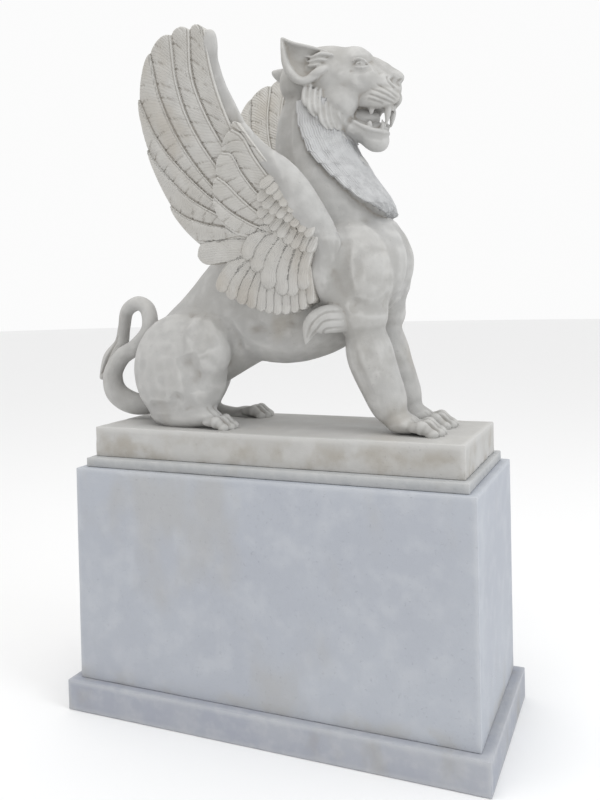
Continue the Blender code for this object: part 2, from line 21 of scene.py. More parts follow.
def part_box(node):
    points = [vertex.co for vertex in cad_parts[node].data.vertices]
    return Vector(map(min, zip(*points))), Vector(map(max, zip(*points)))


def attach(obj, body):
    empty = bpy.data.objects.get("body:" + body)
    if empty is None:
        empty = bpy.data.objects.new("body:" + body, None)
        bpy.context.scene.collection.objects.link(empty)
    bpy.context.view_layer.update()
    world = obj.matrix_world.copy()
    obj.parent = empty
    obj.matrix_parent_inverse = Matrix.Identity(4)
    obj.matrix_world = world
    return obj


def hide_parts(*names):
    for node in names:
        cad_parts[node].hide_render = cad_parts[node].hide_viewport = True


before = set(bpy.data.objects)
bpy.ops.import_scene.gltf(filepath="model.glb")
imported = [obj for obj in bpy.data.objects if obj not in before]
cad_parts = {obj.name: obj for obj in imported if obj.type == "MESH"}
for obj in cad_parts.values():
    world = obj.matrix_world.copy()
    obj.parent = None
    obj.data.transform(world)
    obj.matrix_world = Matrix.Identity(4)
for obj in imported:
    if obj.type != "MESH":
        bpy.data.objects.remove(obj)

Array = np.ndarray
Place = tuple[float, float, float]
Station = tuple[float, float, float, float, float]
Colour = tuple[float, float, float]
Ramp = tuple[float, float]
Spine = tuple[Station, ...]
Lump = tuple[Place, Place]
Line = tuple[tuple[float, float], ...]
Hollows = tuple[int, float]

log = logging.getLogger("lioness")

HASH_STEPS = (73856093, 19349663, 83492791)
SEED_STEP = 2654435761
MIX_STEP = 1274126177


class Side(Enum):
    """A flank of the animal, valued by the sign of its y."""

    NEAR = -1
    FAR = 1


class View(Enum):
    """A flat view that a stroke is drawn in, valued by its two axes and the axis that it looks along."""

    SIDE = (0, 2, 1)
    FRONT = (1, 2, 0)
    TOP = (0, 1, 2)


# Numbers and curves


def smooth_curve(points: Sequence[Sequence[float]], shares: Array) -> Array:
    """Points at given shares of a smooth curve through all of the points.

    Args:
        points: The places that the curve goes through.
        shares: Shares of the way along it, from 0 to 1.

    Returns:
        One row for each share.
    """
    points = np.asarray(points, float)
    ends = np.vstack([2 * points[0] - points[1], points, 2 * points[-1] - points[-2]])
    place = np.asarray(shares) * (len(points) - 1)
    first = np.minimum(place.astype(int), len(points) - 2)
    t = (place - first)[:, None]
    a, b, c, d = ends[first], ends[first + 1], ends[first + 2], ends[first + 3]
    square, cube = 2 * a - 5 * b + 4 * c - d, 3 * b - a - 3 * c + d
    return 0.5 * (2 * b + (c - a) * t + square * t ** 2 + cube * t ** 3)


def even_noise(points: Array, size: float, seed: int = 0) -> Array:
    """Smooth noise from -1 to 1 that is the same in every run.

    Args:
        points: Places, one row each.
        size: Width of one swelling in metres.
        seed: Chooses another pattern.

    Returns:
        One number for each place.
    """
    cell = np.floor(points / size).astype(np.int64)
    part = points / size - cell
    part = part * part * (3 - 2 * part)
    total = np.zeros(len(points))
    for corner in range(8):
        step = np.array([corner & 1, corner >> 1 & 1, corner >> 2 & 1])
        first, second, third = ((cell + step) * HASH_STEPS).T
        mixed = first ^ second ^ third ^ seed * SEED_STEP
        mixed = (mixed ^ mixed >> 13) * MIX_STEP & 0xFFFFFFFF
        weight = np.prod(np.where(step, part, 1 - part), axis=1)
        total += weight * ((mixed >> 8 & 0xFFFF) / 32767.5 - 1)
    return total


def held(values: Array) -> Array:
    """Values held within 0 and 1."""
    return np.clip(values, 0, 1)


def near_path(places: Array, path: Array) -> tuple[Array, Array]:
    """Distance of flat places from a path, and the share of the path nearest to each.

    Args:
        places: Flat places, one row each.
        path: Corners of the path, one row each.

    Returns:
        Distances, and shares from 0 to 1.
    """
    best, share = np.full(len(places), np.inf), np.zeros(len(places))
    for number, (start, end) in enumerate(zip(path, path[1:])):
        run = end - start
        t = held((places - start) @ run / max(run @ run, 1e-12))
        apart = np.linalg.norm(places - start - t[:, None] * run, axis=1)
        nearer = apart < best
        best[nearer] = apart[nearer]
        share[nearer] = (number + t[nearer]) / (len(path) - 1)
    return best, share


# Closed skins


@dataclass
class Skin:
    """Points and faces of one or more closed skins."""

    points: Array
    faces: list[tuple[int, ...]]

    @staticmethod
    def joined(skins: Iterable["Skin"]) -> "Skin":
        """All of the skins as one.

        Args:
            skins: The skins to put together.

        Returns:
            One skin that holds them all.
        """
        points, faces, start = [], [], 0
        for skin in skins:
            points.append(skin.points)
            faces += [tuple(start + i for i in face) for face in skin.faces]
            start += len(skin.points)
        return Skin(np.vstack(points), faces)

    @staticmethod
    def of(piece: bpy.types.Object) -> "Skin":
        """The skin of a mesh object."""
        return Skin(mesh_points(piece.data), [tuple(p.vertices) for p in piece.data.polygons])


class Clay:
    """Ways to model closed skins for the figure."""

    @staticmethod
    def rings(rings: Array, first_pole: Sequence[float], last_pole: Sequence[float]) -> Skin:
        """Skin of equal rings of points, shut by a fan to a pole at each end.

        Args:
            rings: Points by ring and by place round it.
            first_pole: Pole before the first ring.
            last_pole: Pole after the last ring.

        Returns:
            The closed skin.
        """
        count, around = rings.shape[:2]
        points = np.vstack([rings.reshape(-1, 3), first_pole, last_pole])
        faces = []
        for i in range(count - 1):
            for j in range(around):
                k = (j + 1) % around
                faces.append((i * around + j, i * around + k, (i + 1) * around + k, (i + 1) * around + j))
        for j in range(around):
            k = (j + 1) % around
            faces.append((k, j, count * around))
            faces.append(((count - 1) * around + j, (count - 1) * around + k, count * around + 1))
        return Skin(points, faces)

    @staticmethod
    def sweep(stations: Sequence[Station], bluntness: float = 3.0, around: int = 24,
              along: int = 24) -> Skin:
        """A rounded body swept along a spine, its ends closed like an egg's.

        Args:
            stations: x, y, height, half width across and half depth at places along the spine.
            bluntness: Higher keeps the thickness nearer to both ends.
            around: Points round the body.
            along: Rings along it.

        Returns:
            The closed skin.
        """
        turn = np.linspace(0, math.pi, along + 2)[1:-1]
        share = (1 - np.cos(turn)) / 2
        path = smooth_curve(stations, share)
        tangent = np.gradient(smooth_curve(stations, np.linspace(0, 1, 101))[:, :3], axis=0)
        tangent = tangent[np.round(share * 100).astype(int)]
        tangent /= np.linalg.norm(tangent, axis=1)[:, None]
        across = np.array([0.0, 1.0, 0.0]) - tangent * tangent[:, 1:2]
        across /= np.linalg.norm(across, axis=1)[:, None]
        up = np.cross(across, tangent)
        swell = (1 - np.abs(2 * share - 1) ** bluntness) ** (1 / bluntness)
        swell = np.minimum(swell, np.sin(turn) ** (2 / bluntness))
        angle = np.linspace(0, 2 * math.pi, around, endpoint=False)
        wide, deep = swell * path[:, 3], swell * path[:, 4]
        rings = (path[:, None, :3] + np.cos(angle)[None, :, None] * (wide[:, None] * across)[:, None, :]
                 + np.sin(angle)[None, :, None] * (deep[:, None] * up)[:, None, :])
        return Clay.rings(rings, stations[0][:3], stations[-1][:3])

    @staticmethod
    def ball(centre: Sequence[float], radii: Sequence[float], fine: int = 24) -> Skin:
        """An egg-shaped lump.

        Args:
            centre: Its middle.
            radii: Its half sizes along x, y and height.
            fine: Points round it.

        Returns:
            The closed skin.
        """
        level = np.linspace(0, math.pi, fine // 2 + 1)[1:-1]
        angle = np.linspace(0, 2 * math.pi, fine, endpoint=False)
        rings = np.stack([np.outer(np.sin(level), np.cos(angle)), np.outer(np.sin(level), np.sin(angle)),
                          np.outer(np.cos(level), np.ones(fine))], axis=2) * radii + centre
        top = np.array([0, 0, radii[2]])
        return Clay.rings(rings, centre + top, centre - top)

    @staticmethod
    def sheet(front: Array, back: Array) -> Skin:
        """A skin between two equal grids of points, with walls along their edges.

        Args:
            front: The outer grid.
            back: The inner grid.

        Returns:
            The closed skin.
        """
        along, across = front.shape[:2]
        points = np.vstack([front.reshape(-1, 3), back.reshape(-1, 3)])
        size, faces = along * across, []
        for i in range(along - 1):
            for j in range(across - 1):
                a = i * across + j
                faces.append((a, a + 1, a + across + 1, a + across))
                faces.append((size + a, size + a + across, size + a + across + 1, size + a + 1))
        edge = ([i * across for i in range(along)] + [(along - 1) * across + j for j in range(1, across)]
                + [i * across + across - 1 for i in range(along - 2, -1, -1)]
                + [j for j in range(across - 2, 0, -1)])
        for a, b in zip(edge, edge[1:] + edge[:1]):
            faces.append((a, b, size + b, size + a))
        return Skin(points, faces)

    @staticmethod
    def limb(stations: Sequence[Sequence[float]], side: Side, *shape: float) -> Skin:
        """A swept body on one flank, drawn with y as the distance from the middle plane.

        Args:
            stations: Stations as sweep takes them.
            side: The flank.
            shape: Bluntness, points round it and rings along it, as sweep takes them.

        Returns:
            The closed skin.
        """
        return Clay.sweep([(x, side.value * out, *rest) for x, out, *rest in stations], *shape)

    @staticmethod
    def lump(centre: Place, radii: Place, side: Side, fine: int = 24) -> Skin:
        """An egg-shaped lump on one flank, drawn with y as the distance from the middle plane."""
        return Clay.ball((centre[0], side.value * centre[1], centre[2]), radii, fine)


# Combed lines: barbs of feathers and strands of hair


@dataclass
class Comb:
    """Sample places on combed surfaces, each with numbers that change evenly over the surface there."""

    places: Array
    values: Array
    slopes: Array
    group: Array

    @staticmethod
    def over(grid: Array, values: Array, group: int) -> "Comb":
        """Samples over a grid of places.

        Args:
            grid: Places by row and column.
            values: Numbers at them by row, column and kind.
            group: Number of the feather or tuft.

        Returns:
            The samples with the slope of each number.
        """
        along, across = np.gradient(grid, axis=0), np.gradient(grid, axis=1)
        metric = np.stack([np.stack([(along * along).sum(-1), (along * across).sum(-1)], -1),
                           np.stack([(along * across).sum(-1), (across * across).sum(-1)], -1)], -2)
        inverse = np.linalg.inv(metric + 1e-10 * np.eye(2))
        change = np.stack([np.gradient(values, axis=0), np.gradient(values, axis=1)], axis=-2)
        weights = np.einsum('abij,abjk->abik', inverse, change)
        slopes = np.einsum('abic,abik->abkc', np.stack([along, across], axis=-2), weights)
        count = grid.shape[0] * grid.shape[1]
        return Comb(grid.reshape(count, 3), values.reshape(count, -1),
                    slopes.reshape(count, values.shape[2], 3), np.full(count, group))

    @staticmethod
    def joined(combs: Sequence["Comb"]) -> "Comb":
        """All of the samples as one set."""
        return Comb(*(np.concatenate([getattr(comb, name) for comb in combs])
                      for name in ("places", "values", "slopes", "group")))

    def read(self, points: Array, limit: float) -> tuple[Array, Array, Array]:
        """Numbers at the points of a mesh, from the nearest sample.

        Args:
            points: The points.
            limit: Distance in metres past which a point isn't combed.

        Returns:
            The numbers by point and kind, the group of each point, and whether it is near enough.
        """
        tree = KDTree(len(self.places))
        for number, place in enumerate(self.places):
            tree.insert(place, number)
        tree.balance()
        found = [tree.find(point)[1:] for point in points]
        nearest, apart = np.array([f[0] for f in found]), np.array([f[1] for f in found])
        offset = points - self.places[nearest]
        values = self.values[nearest] + np.einsum('nkc,nc->nk', self.slopes[nearest], offset)
        return values, self.group[nearest], apart < limit


# Strokes of the chisel


@dataclass(frozen=True)
class Stroke:
    """One pull of the chisel, drawn in a flat view and cut into the faces that look that way.

    A depth below zero raises a ridge. A stroke reaches the places whose third coordinate is within its
    span, counted outwards from the middle plane in a side view.
    """

    path: Line
    width: float
    depth: float
    view: View = View.SIDE
    span: tuple[float, float] = (0.0, 1.0)
    sharp: float = 2.0
    ends: float = 0.0
    sides: tuple[Side, ...] = (Side.NEAR, Side.FAR)


# For the near flank's own lines, and for strokes on the middle line, which would else be cut twice
NEAR_ONLY = (Side.NEAR,)
SOFT = {"sharp": 1.5, "ends": 0.35}
NECK = {"span": (0.05, 1.0), "sharp": 1.4, "ends": 0.35}
THIGH = {"span": (0.1, 1.0), "sharp": 1.4, "ends": 0.35}
WHISKER = {"span": (0.02, 1.0), "ends": 0.2}
SKULL = {"span": (0.03, 1.0)}


@dataclass
class Carving:
    """The figure's points while strokes are cut into them."""

    points: Array
    normals: Array
    steps: int = 6
    least_facing: float = 0.05
    full_facing: float = 0.35
    soft_start: float = 0.025

    def cut(self, stroke: Stroke) -> None:
        """Cut one stroke, on both flanks if it is drawn so.

        Args:
            stroke: The stroke.
        """
        first, second, third = stroke.view.value
        path = smooth_curve(stroke.path, np.linspace(0, 1, self.steps * len(stroke.path)))
        start, end = stroke.span
        for side in stroke.sides:
            flip = {View.SIDE: (1, 1), View.FRONT: (side.value, 1), View.TOP: (1, side.value)}[stroke.view]
            line = path * flip
            facing = side.value if stroke.view is View.SIDE else 1
            places = self.points[:, (first, second)]
            out, ahead = facing * self.points[:, third], facing * self.normals[:, third]
            low, high = line.min(0) - stroke.width, line.max(0) + stroke.width
            near = ((places > low) & (places < high)).all(1) & (out > start) & (out < end)
            index = np.flatnonzero(near & (ahead > self.least_facing))
            if not len(index):
                continue
            apart, share = near_path(places[index], line)
            fade = np.ones(len(index))
            if stroke.ends:
                fade = held(np.minimum(share, 1 - share) / stroke.ends)
            turned = held(ahead[index] / self.full_facing)
            turned *= held((out[index] - start) / self.soft_start)
            amount = held(1 - (apart / stroke.width) ** 2) ** stroke.sharp * turned
            self.points[index] -= (stroke.depth * amount * fade * (2 - fade))[:, None] * self.normals[index]


# Mesh objects


def rows_of(elements: bpy.types.bpy_prop_collection, name: str, width: int, kind: type = float) -> Array:
    """Numbers that the elements of a mesh hold.

    Args:
        elements: Its vertices, edges or normals.
        name: What is read of them.
        width: Numbers to an element.
        kind: Kind of number.

    Returns:
        One row for each element.
    """
    numbers = np.empty(len(elements) * width, kind)
    elements.foreach_get(name, numbers)
    return numbers.reshape(-1, width)


def mesh_points(mesh: bpy.types.Mesh) -> Array:
    """Points of a mesh, one row for each vertex."""
    return rows_of(mesh.vertices, "co", 3)


def mesh_normals(mesh: bpy.types.Mesh) -> Array:
    """Normals of a mesh, one row for each vertex."""
    return rows_of(mesh.vertex_normals, "vector", 3, np.float32).astype(float)


def set_points(mesh: bpy.types.Mesh, points: Array) -> None:
    """Move the vertices of a mesh, one row of points for each."""
    mesh.vertices.foreach_set("co", points.astype(np.float32).ravel())
    mesh.update()


def set_attribute(mesh: bpy.types.Mesh, name: str, values: Array) -> None:
    """Keep one number for each vertex, for the stone's finish to read."""
    kept = mesh.attributes.new(name, 'FLOAT', 'POINT')
    kept.data.foreach_set("value", values.astype(np.float32))


@contextmanager
def reworked(mesh: bpy.types.Mesh) -> Iterator[bmesh.types.BMesh]:
    """Open a mesh for bmesh's operations and write it back.

    Args:
        mesh: The mesh.

    Yields:
        Its working copy.
    """
    work = bmesh.new()
    work.from_mesh(mesh)
    yield work
    work.to_mesh(mesh)
    work.free()


def as_object(name: str, skin: Skin) -> bpy.types.Object:
    """A mesh object of closed skins, each turned outwards.

    Args:
        name: The object's name.
        skin: The skins.

    Returns:
        The object, alone selected and active.
    """
    mesh = bpy.data.meshes.new(name)
    mesh.from_pydata(skin.points.tolist(), [], skin.faces)
    with reworked(mesh) as work:
        bmesh.ops.recalc_face_normals(work, faces=work.faces)
    made = bpy.data.objects.new(name, mesh)
    bpy.context.scene.collection.objects.link(made)
    choose(made)
    return made


def choose(piece: bpy.types.Object) -> None:
    """Select one object alone and make it active."""
    bpy.ops.object.select_all(action='DESELECT')
    piece.select_set(True)
    bpy.context.view_layer.objects.active = piece


def finish_with(piece: bpy.types.Object, kind: str, **settings: object) -> None:
    """Add a modifier to a piece and apply it.

    Args:
        piece: The object.
        kind: The modifier's type.
        settings: Its settings by name.
    """
    choose(piece)
    modifier = piece.modifiers.new(kind.title(), kind)
    for name, value in settings.items():
        setattr(modifier, name, value)
    bpy.ops.object.modifier_apply(modifier=modifier.name)


def keep_largest(mesh: bpy.types.Mesh) -> None:
    """Drop the small bubbles that a voxel skin can hold, and keep its largest body.

    Args:
        mesh: The mesh, changed in place.
    """
    first, second = rows_of(mesh.edges, "vertices", 2, int).T
    label = np.arange(len(mesh.vertices))
    while True:
        lowest = label.copy()
        np.minimum.at(lowest, first, label[second])
        np.minimum.at(lowest, second, label[first])
        lowest = lowest[lowest]
        if (lowest == label).all():
            break
        label = lowest
    stray = np.flatnonzero(label != np.bincount(label).argmax())
    if len(stray):
        with reworked(mesh) as work:
            work.verts.ensure_lookup_table()
            bmesh.ops.delete(work, geom=[work.verts[i] for i in stray], context='VERTS')


def run_together(piece: bpy.types.Object, voxel: float, smoothing: int) -> None:
    """Run the skins of a piece together into one closed skin.

    Args:
        piece: The object.
        voxel: Size in metres of the finest shape.
        smoothing: Rounds of smoothing.
    """
    finish_with(piece, 'REMESH', mode='VOXEL', voxel_size=voxel)
    keep_largest(piece.data)
    finish_with(piece, 'SMOOTH', factor=0.5, iterations=smoothing)


def thin_out(piece: bpy.types.Object, most: int) -> None:
    """Bring a piece down to a number of triangles, where it has more."""
    ratio = min(1.0, most / (2 * len(piece.data.polygons)))
    finish_with(piece, 'DECIMATE', ratio=ratio, use_collapse_triangulate=True)


def hollowness(mesh: bpy.types.Mesh, rounds: int, depth: float) -> Array:
    """How far each vertex lies in a hollow, from -1 on a sharp edge to 1 in a deep crease.

    Args:
        mesh: The mesh.
        rounds: Rounds of averaging with the neighbours, so how wide a hollow is looked for.
        depth: Depth in metres that counts as 1.

    Returns:
        One number for each vertex.
    """
    stay, move = 0.3, 0.7
    links = rows_of(mesh.edges, "vertices", 2, int)
    first, second = links.T
    count = np.maximum(np.bincount(links.ravel(), minlength=len(mesh.vertices)), 1)[:, None]
    points = mesh_points(mesh)
    eased = points.copy()
    for _ in range(rounds):
        total = np.zeros_like(eased)
        for axis in range(3):
            total[:, axis] = (np.bincount(first, eased[second, axis], len(points))
                              + np.bincount(second, eased[first, axis], len(points)))
        eased = stay * eased + move * total / count
    return np.clip(((eased - points) * mesh_normals(mesh)).sum(1) / depth, -1, 1)


# Finishes


class Reading:
    """One output of a shader node, with Python's arithmetic."""

    def __init__(self, bench: "Bench", socket: bpy.types.NodeSocket) -> None:
        """Wrap a socket of a bench."""
        self.bench = bench
        self.socket = socket

    def _sum(self, operation: str, *values: "Value") -> "Reading":
        """Another reading, worked out by one Math node."""
        return self.bench.node('ShaderNodeMath', {'operation': operation}, dict(enumerate(values)))

    def __add__(self, other: "Value") -> "Reading":
        """This plus other."""
        return self._sum('ADD', self, other)

    def __radd__(self, other: "Value") -> "Reading":
        """Other plus this."""
        return self._sum('ADD', other, self)

    def __sub__(self, other: "Value") -> "Reading":
        """This minus other."""
        return self._sum('SUBTRACT', self, other)

    def __rsub__(self, other: "Value") -> "Reading":
        """Other minus this."""
        return self._sum('SUBTRACT', other, self)

    def __mul__(self, other: "Value") -> "Reading":
        """This times other."""
        return self._sum('MULTIPLY', self, other)

    def __rmul__(self, other: "Value") -> "Reading":
        """Other times this."""
        return self._sum('MULTIPLY', other, self)

    def sine(self) -> "Reading":
        """Its sine."""
        return self._sum('SINE', self)

    def ramp(self, low: float, high: float) -> "Reading":
        """It as a share of the way from low to high, held within 0 and 1.

        Args:
            low: Where the share is 0.
            high: Where the share is 1.

        Returns:
            The share, eased at both ends.
        """
        return self.bench.node('ShaderNodeMapRange', {'interpolation_type': 'SMOOTHSTEP'},
                               {0: self, 1: low, 2: high})


Value = Union[Reading, float]


class Bench:
    """The node tree of one finish."""

    def __init__(self, name: str) -> None:
        """Start an empty finish.

        Args:
            name: The material's name.
        """
        self.material = bpy.data.materials.new(name)
        self.material.use_nodes = True
        self.tree = self.material.node_tree
        self.shader = self.tree.nodes["Principled BSDF"]
        self.place = self.node('ShaderNodeTexCoord', {}, {}, 'Object')

    def node(self, kind: str, settings: dict, inputs: dict, output: Union[int, str] = 0) -> Reading:
        """Make any node.

        Args:
            kind: The node's type.
            settings: Its settings, set first.
            inputs: Values or readings by socket name or number.
            output: The output that is read.

        Returns:
            The reading of that output.
        """
        made = self.tree.nodes.new(kind)
        for name, value in settings.items():
            setattr(made, name, value)
        for name, value in inputs.items():
            if isinstance(value, Reading):
                self.tree.links.new(value.socket, made.inputs[name])
            else:
                made.inputs[name].default_value = value
        return Reading(self, made.outputs[output])

    def noise(self, scale: float, detail: float = 3.0, stretch: Place = (1, 1, 1),
              shift: float = 0.0) -> Reading:
        """Noise over the piece, about 0.5 in the mean.

        Args:
            scale: Swellings to a metre.
            detail: Finer octaves.
            stretch: Scale along each axis.
            shift: Moves the pattern, so that two are unlike.

        Returns:
            The reading.
        """
        place = self.node('ShaderNodeMapping', {}, {'Vector': self.place, 'Location': (shift, shift, shift),
                                                    'Scale': stretch})
        return self.node('ShaderNodeTexNoise', {}, {'Vector': place, 'Scale': scale, 'Detail': detail})

    def mark(self, name: str) -> Reading:
        """Number kept for each vertex of the piece.

        Args:
            name: The attribute's name.

        Returns:
            The reading.
        """
        return self.node('ShaderNodeAttribute', {'attribute_name': name}, {}, 'Fac')

    def blend(self, share: Value, low: Union[Reading, Colour], high: Union[Reading, Colour]) -> Reading:
        """A colour between two.

        Args:
            share: Share of the second colour.
            low: The first colour.
            high: The second colour.

        Returns:
            The mixed colour.
        """
        colours = [c if isinstance(c, Reading) else (*c, 1.0) for c in (low, high)]
        return self.node('ShaderNodeMix', {'data_type': 'RGBA'}, {0: share, 6: colours[0], 7: colours[1]}, 2)

    def feed(self, name: str, value: Union[Reading, float]) -> None:
        """Link a reading to the shader's socket, or set it.

        Args:
            name: The socket's name.
            value: The reading or number.
        """
        if isinstance(value, Reading):
            self.tree.links.new(value.socket, self.shader.inputs[name])
        else:
            self.shader.inputs[name].default_value = value


@dataclass(frozen=True)
class Limestone:
    """Pale limestone in one tone, with clouds, stains, pits, dirt and painted shade in its hollows and
    creases, rubbed edges and, where it is set, a paler and cooler painted light on combed strands.

    A ramp says where a mark starts and where it is full, and a share how strong it gets. Lower than the
    height foot the stone is grimy, and up to just above the foot it is paler by a share of the rubbed
    colour: painted light that lifts the shade on the slab's top, and a dusting.
    """

    name: str
    stone: Colour
    cloud: Colour
    stain: Colour
    # Colour of the specks, and of the dirt and painted shade that darken hollows and creases
    dirt_and_shade: Colour
    rubbed: Colour
    cloud_scale: float = 3.0
    clouds: Ramp = (0.36, 0.66)
    mottle: Ramp = (0.42, 0.74)
    mottle_share: float = 0.35
    stains: Ramp = (0.54, 0.74)
    stain_share: float = 0.5
    specks: Ramp = (0.6, 0.8)
    speck_share: float = 0.22
    # The hollows and creases ramps and the dirt share set how much dirt and painted shade darken hollows and
    # creases
    hollows: Ramp = (0.2, 1.3)
    creases: Ramp = (0.1, 1.1)
    edges: Ramp = (0.1, 0.9)
    dirt_and_shade_share: float = 0.8
    crease_share: float = 0.6
    edge_share: float = 0.5
    grain_depth: float = 0.0006
    pit_depth: float = 0.0009
    roughness: float = 0.78
    carved: bool = False
    # Where comb_depth is set, on the beard, the stone is blended by this share towards the combed colour:
    # painted light, paler and cooler, as where the cool light falls on the beard
    combed_painted_light: float = 0.0
    combed: Colour = (0.52, 0.53, 0.545)
    combed_painted_light_full: float = 0.001
    # Share of the rubbed colour up to just above the foot: painted light that lifts the shade on the slab's
    # top, and a dusting
    dust_and_painted_light: float = 0.0
    dust_and_light_height: float = 0.006
    dust_and_light_fade: float = 0.005
    foot: Optional[float] = None
    grime: Ramp = (0.4, 0.64)
    grime_height: float = 0.06
    grime_share: float = 0.7

    def material(self) -> bpy.types.Material:
        """Make the finish.

        Returns:
            The material.
        """
        bench = Bench(self.name)
        clouds = bench.noise(self.cloud_scale, 4.0)
        mottle = bench.noise(self.cloud_scale * 6, 5.0, shift=3.1)
        tone = bench.blend(clouds.ramp(*self.clouds), self.stone, self.cloud)
        tone = bench.blend(mottle.ramp(*self.mottle) * self.mottle_share, tone, self.rubbed)
        stains = bench.noise(self.cloud_scale * 1.7, 6.0, stretch=(1, 1, 0.55), shift=7.7)
        tone = bench.blend(stains.ramp(*self.stains) * self.stain_share, tone, self.stain)
        specks = bench.noise(240, 2.0, shift=1.3)
        tone = bench.blend(specks.ramp(*self.specks) * self.speck_share, tone, self.dirt_and_shade)
        hollow, crease = bench.mark("hollow"), bench.mark("crease")
        # Painted shade and dirt: hollows and creases are darkened towards the colour of dirt, standing in for
        # the shade that falls in them as well as for real dirt
        dirt_and_shade = hollow.ramp(*self.hollows) * self.dirt_and_shade_share * (0.2 + 0.7 * mottle)
        tone = bench.blend(dirt_and_shade, tone, self.dirt_and_shade)
        tone = bench.blend(crease.ramp(*self.creases) * self.dirt_and_shade_share * self.crease_share, tone, self.dirt_and_shade)
        tone = bench.blend((0 - crease).ramp(*self.edges) * self.edge_share, tone, self.rubbed)
        # Painted light: the beard's combed strands are painted paler and cooler, as where the cool light falls
        # on them
        if self.combed_painted_light:
            hair = bench.mark("comb_depth").ramp(0.0, self.combed_painted_light_full)
            tone = bench.blend(hair * self.combed_painted_light, tone, self.combed)
        if self.foot is not None:
            height = bench.node('ShaderNodeSeparateXYZ', {}, {0: bench.place}, 2)
            below = (self.foot + 0.05 * (mottle - 0.5) - height).ramp(0.0, self.grime_height)
            grime = bench.noise(9, 6.0, shift=11.3).ramp(*self.grime)
            # Painted light and dust: the slab and the figure's lowest millimetres are painted paler, lifting
            # the shade on the slab's top
            if self.dust_and_painted_light:
                dust_and_light_mask = (self.foot + self.dust_and_light_height - height).ramp(0.0, self.dust_and_light_fade)
                tone = bench.blend(dust_and_light_mask * self.dust_and_painted_light, tone, self.rubbed)
            tone = bench.blend(below * grime * self.grime_share, tone, self.stain)
        bench.feed('Base Color', tone)
        bench.feed('Roughness', self.roughness - 0.12 * clouds + 0.1 * hollow.ramp(0.0, 1.0))
        bench.feed('Normal', self.relief(bench))
        bench.feed('Specular IOR Level', 0.35)
        return bench.material

    def relief(self, bench: Bench) -> Reading:
        """Grain, pits and combed lines of the surface.

        Args:
            bench: The finish that is being made.

        Returns:
            The bump that they give.
        """
        grain, wave = bench.noise(320, 3.0, shift=5.2), bench.noise(26, 2.0, shift=2.2)
        pits = bench.noise(120, 2.0, shift=9.4).ramp(0.66, 0.76)
        height = self.grain_depth * (grain + 1.6 * wave) - self.pit_depth * pits
        if self.carved:
            drift = bench.noise(30, 2.0, shift=4.4) * 0.7
            barbs = ((bench.mark("comb") + drift) * (2 * math.pi)).sine()
            patch = 0.4 + 0.6 * bench.noise(30, 2.0, shift=6.1).ramp(0.35, 0.62)
            height = height + barbs * patch * bench.mark("comb_depth")
        return bench.node('ShaderNodeBump', {}, {'Strength': 1.0, 'Distance': 1.0, 'Height': height})


CARVED_STONE = Limestone(
    "carved limestone", (0.363, 0.355, 0.338), (0.408, 0.405, 0.397), (0.335, 0.307, 0.264),
    (0.225, 0.202, 0.172), (0.56, 0.555, 0.54), cloud_scale=2.8, stain_share=0.6, carved=True,
    combed_painted_light=0.5, foot=1.06, dust_and_painted_light=0.42)
# The feathers' stone is the body's limestone painted lighter: painted light that makes up for the wings' own
# shade and the brighter light on them
PAINTED_LIGHTER_FEATHER_STONE = Limestone(
    "carved limestone, feathers", (0.468, 0.452, 0.42), (0.505, 0.495, 0.472), (0.415, 0.378, 0.325),
    (0.24, 0.212, 0.178), (0.6, 0.59, 0.565), cloud_scale=3.2, stain_share=0.55, carved=True)
STEP_STONE = Limestone(
    "step limestone", (0.385, 0.395, 0.402), (0.425, 0.432, 0.436), (0.33, 0.312, 0.282),
    (0.22, 0.205, 0.182), (0.52, 0.52, 0.515), cloud_scale=5.0, stain_share=0.6)
DIE_STONE = Limestone(
    "die limestone", (0.396, 0.416, 0.46), (0.42, 0.442, 0.484), (0.392, 0.388, 0.378), (0.3, 0.29, 0.27),
    (0.52, 0.538, 0.565), cloud_scale=2.2, stain_share=0.55, grain_depth=0.0004, roughness=0.72, foot=0.18)
BASE_STONE = Limestone(
    "base limestone", (0.338, 0.354, 0.404), (0.38, 0.394, 0.43), (0.318, 0.308, 0.29), (0.23, 0.22, 0.202),
    (0.49, 0.498, 0.512), cloud_scale=4.0, stain_share=0.6)


# Parts of the animal, in figure coordinates


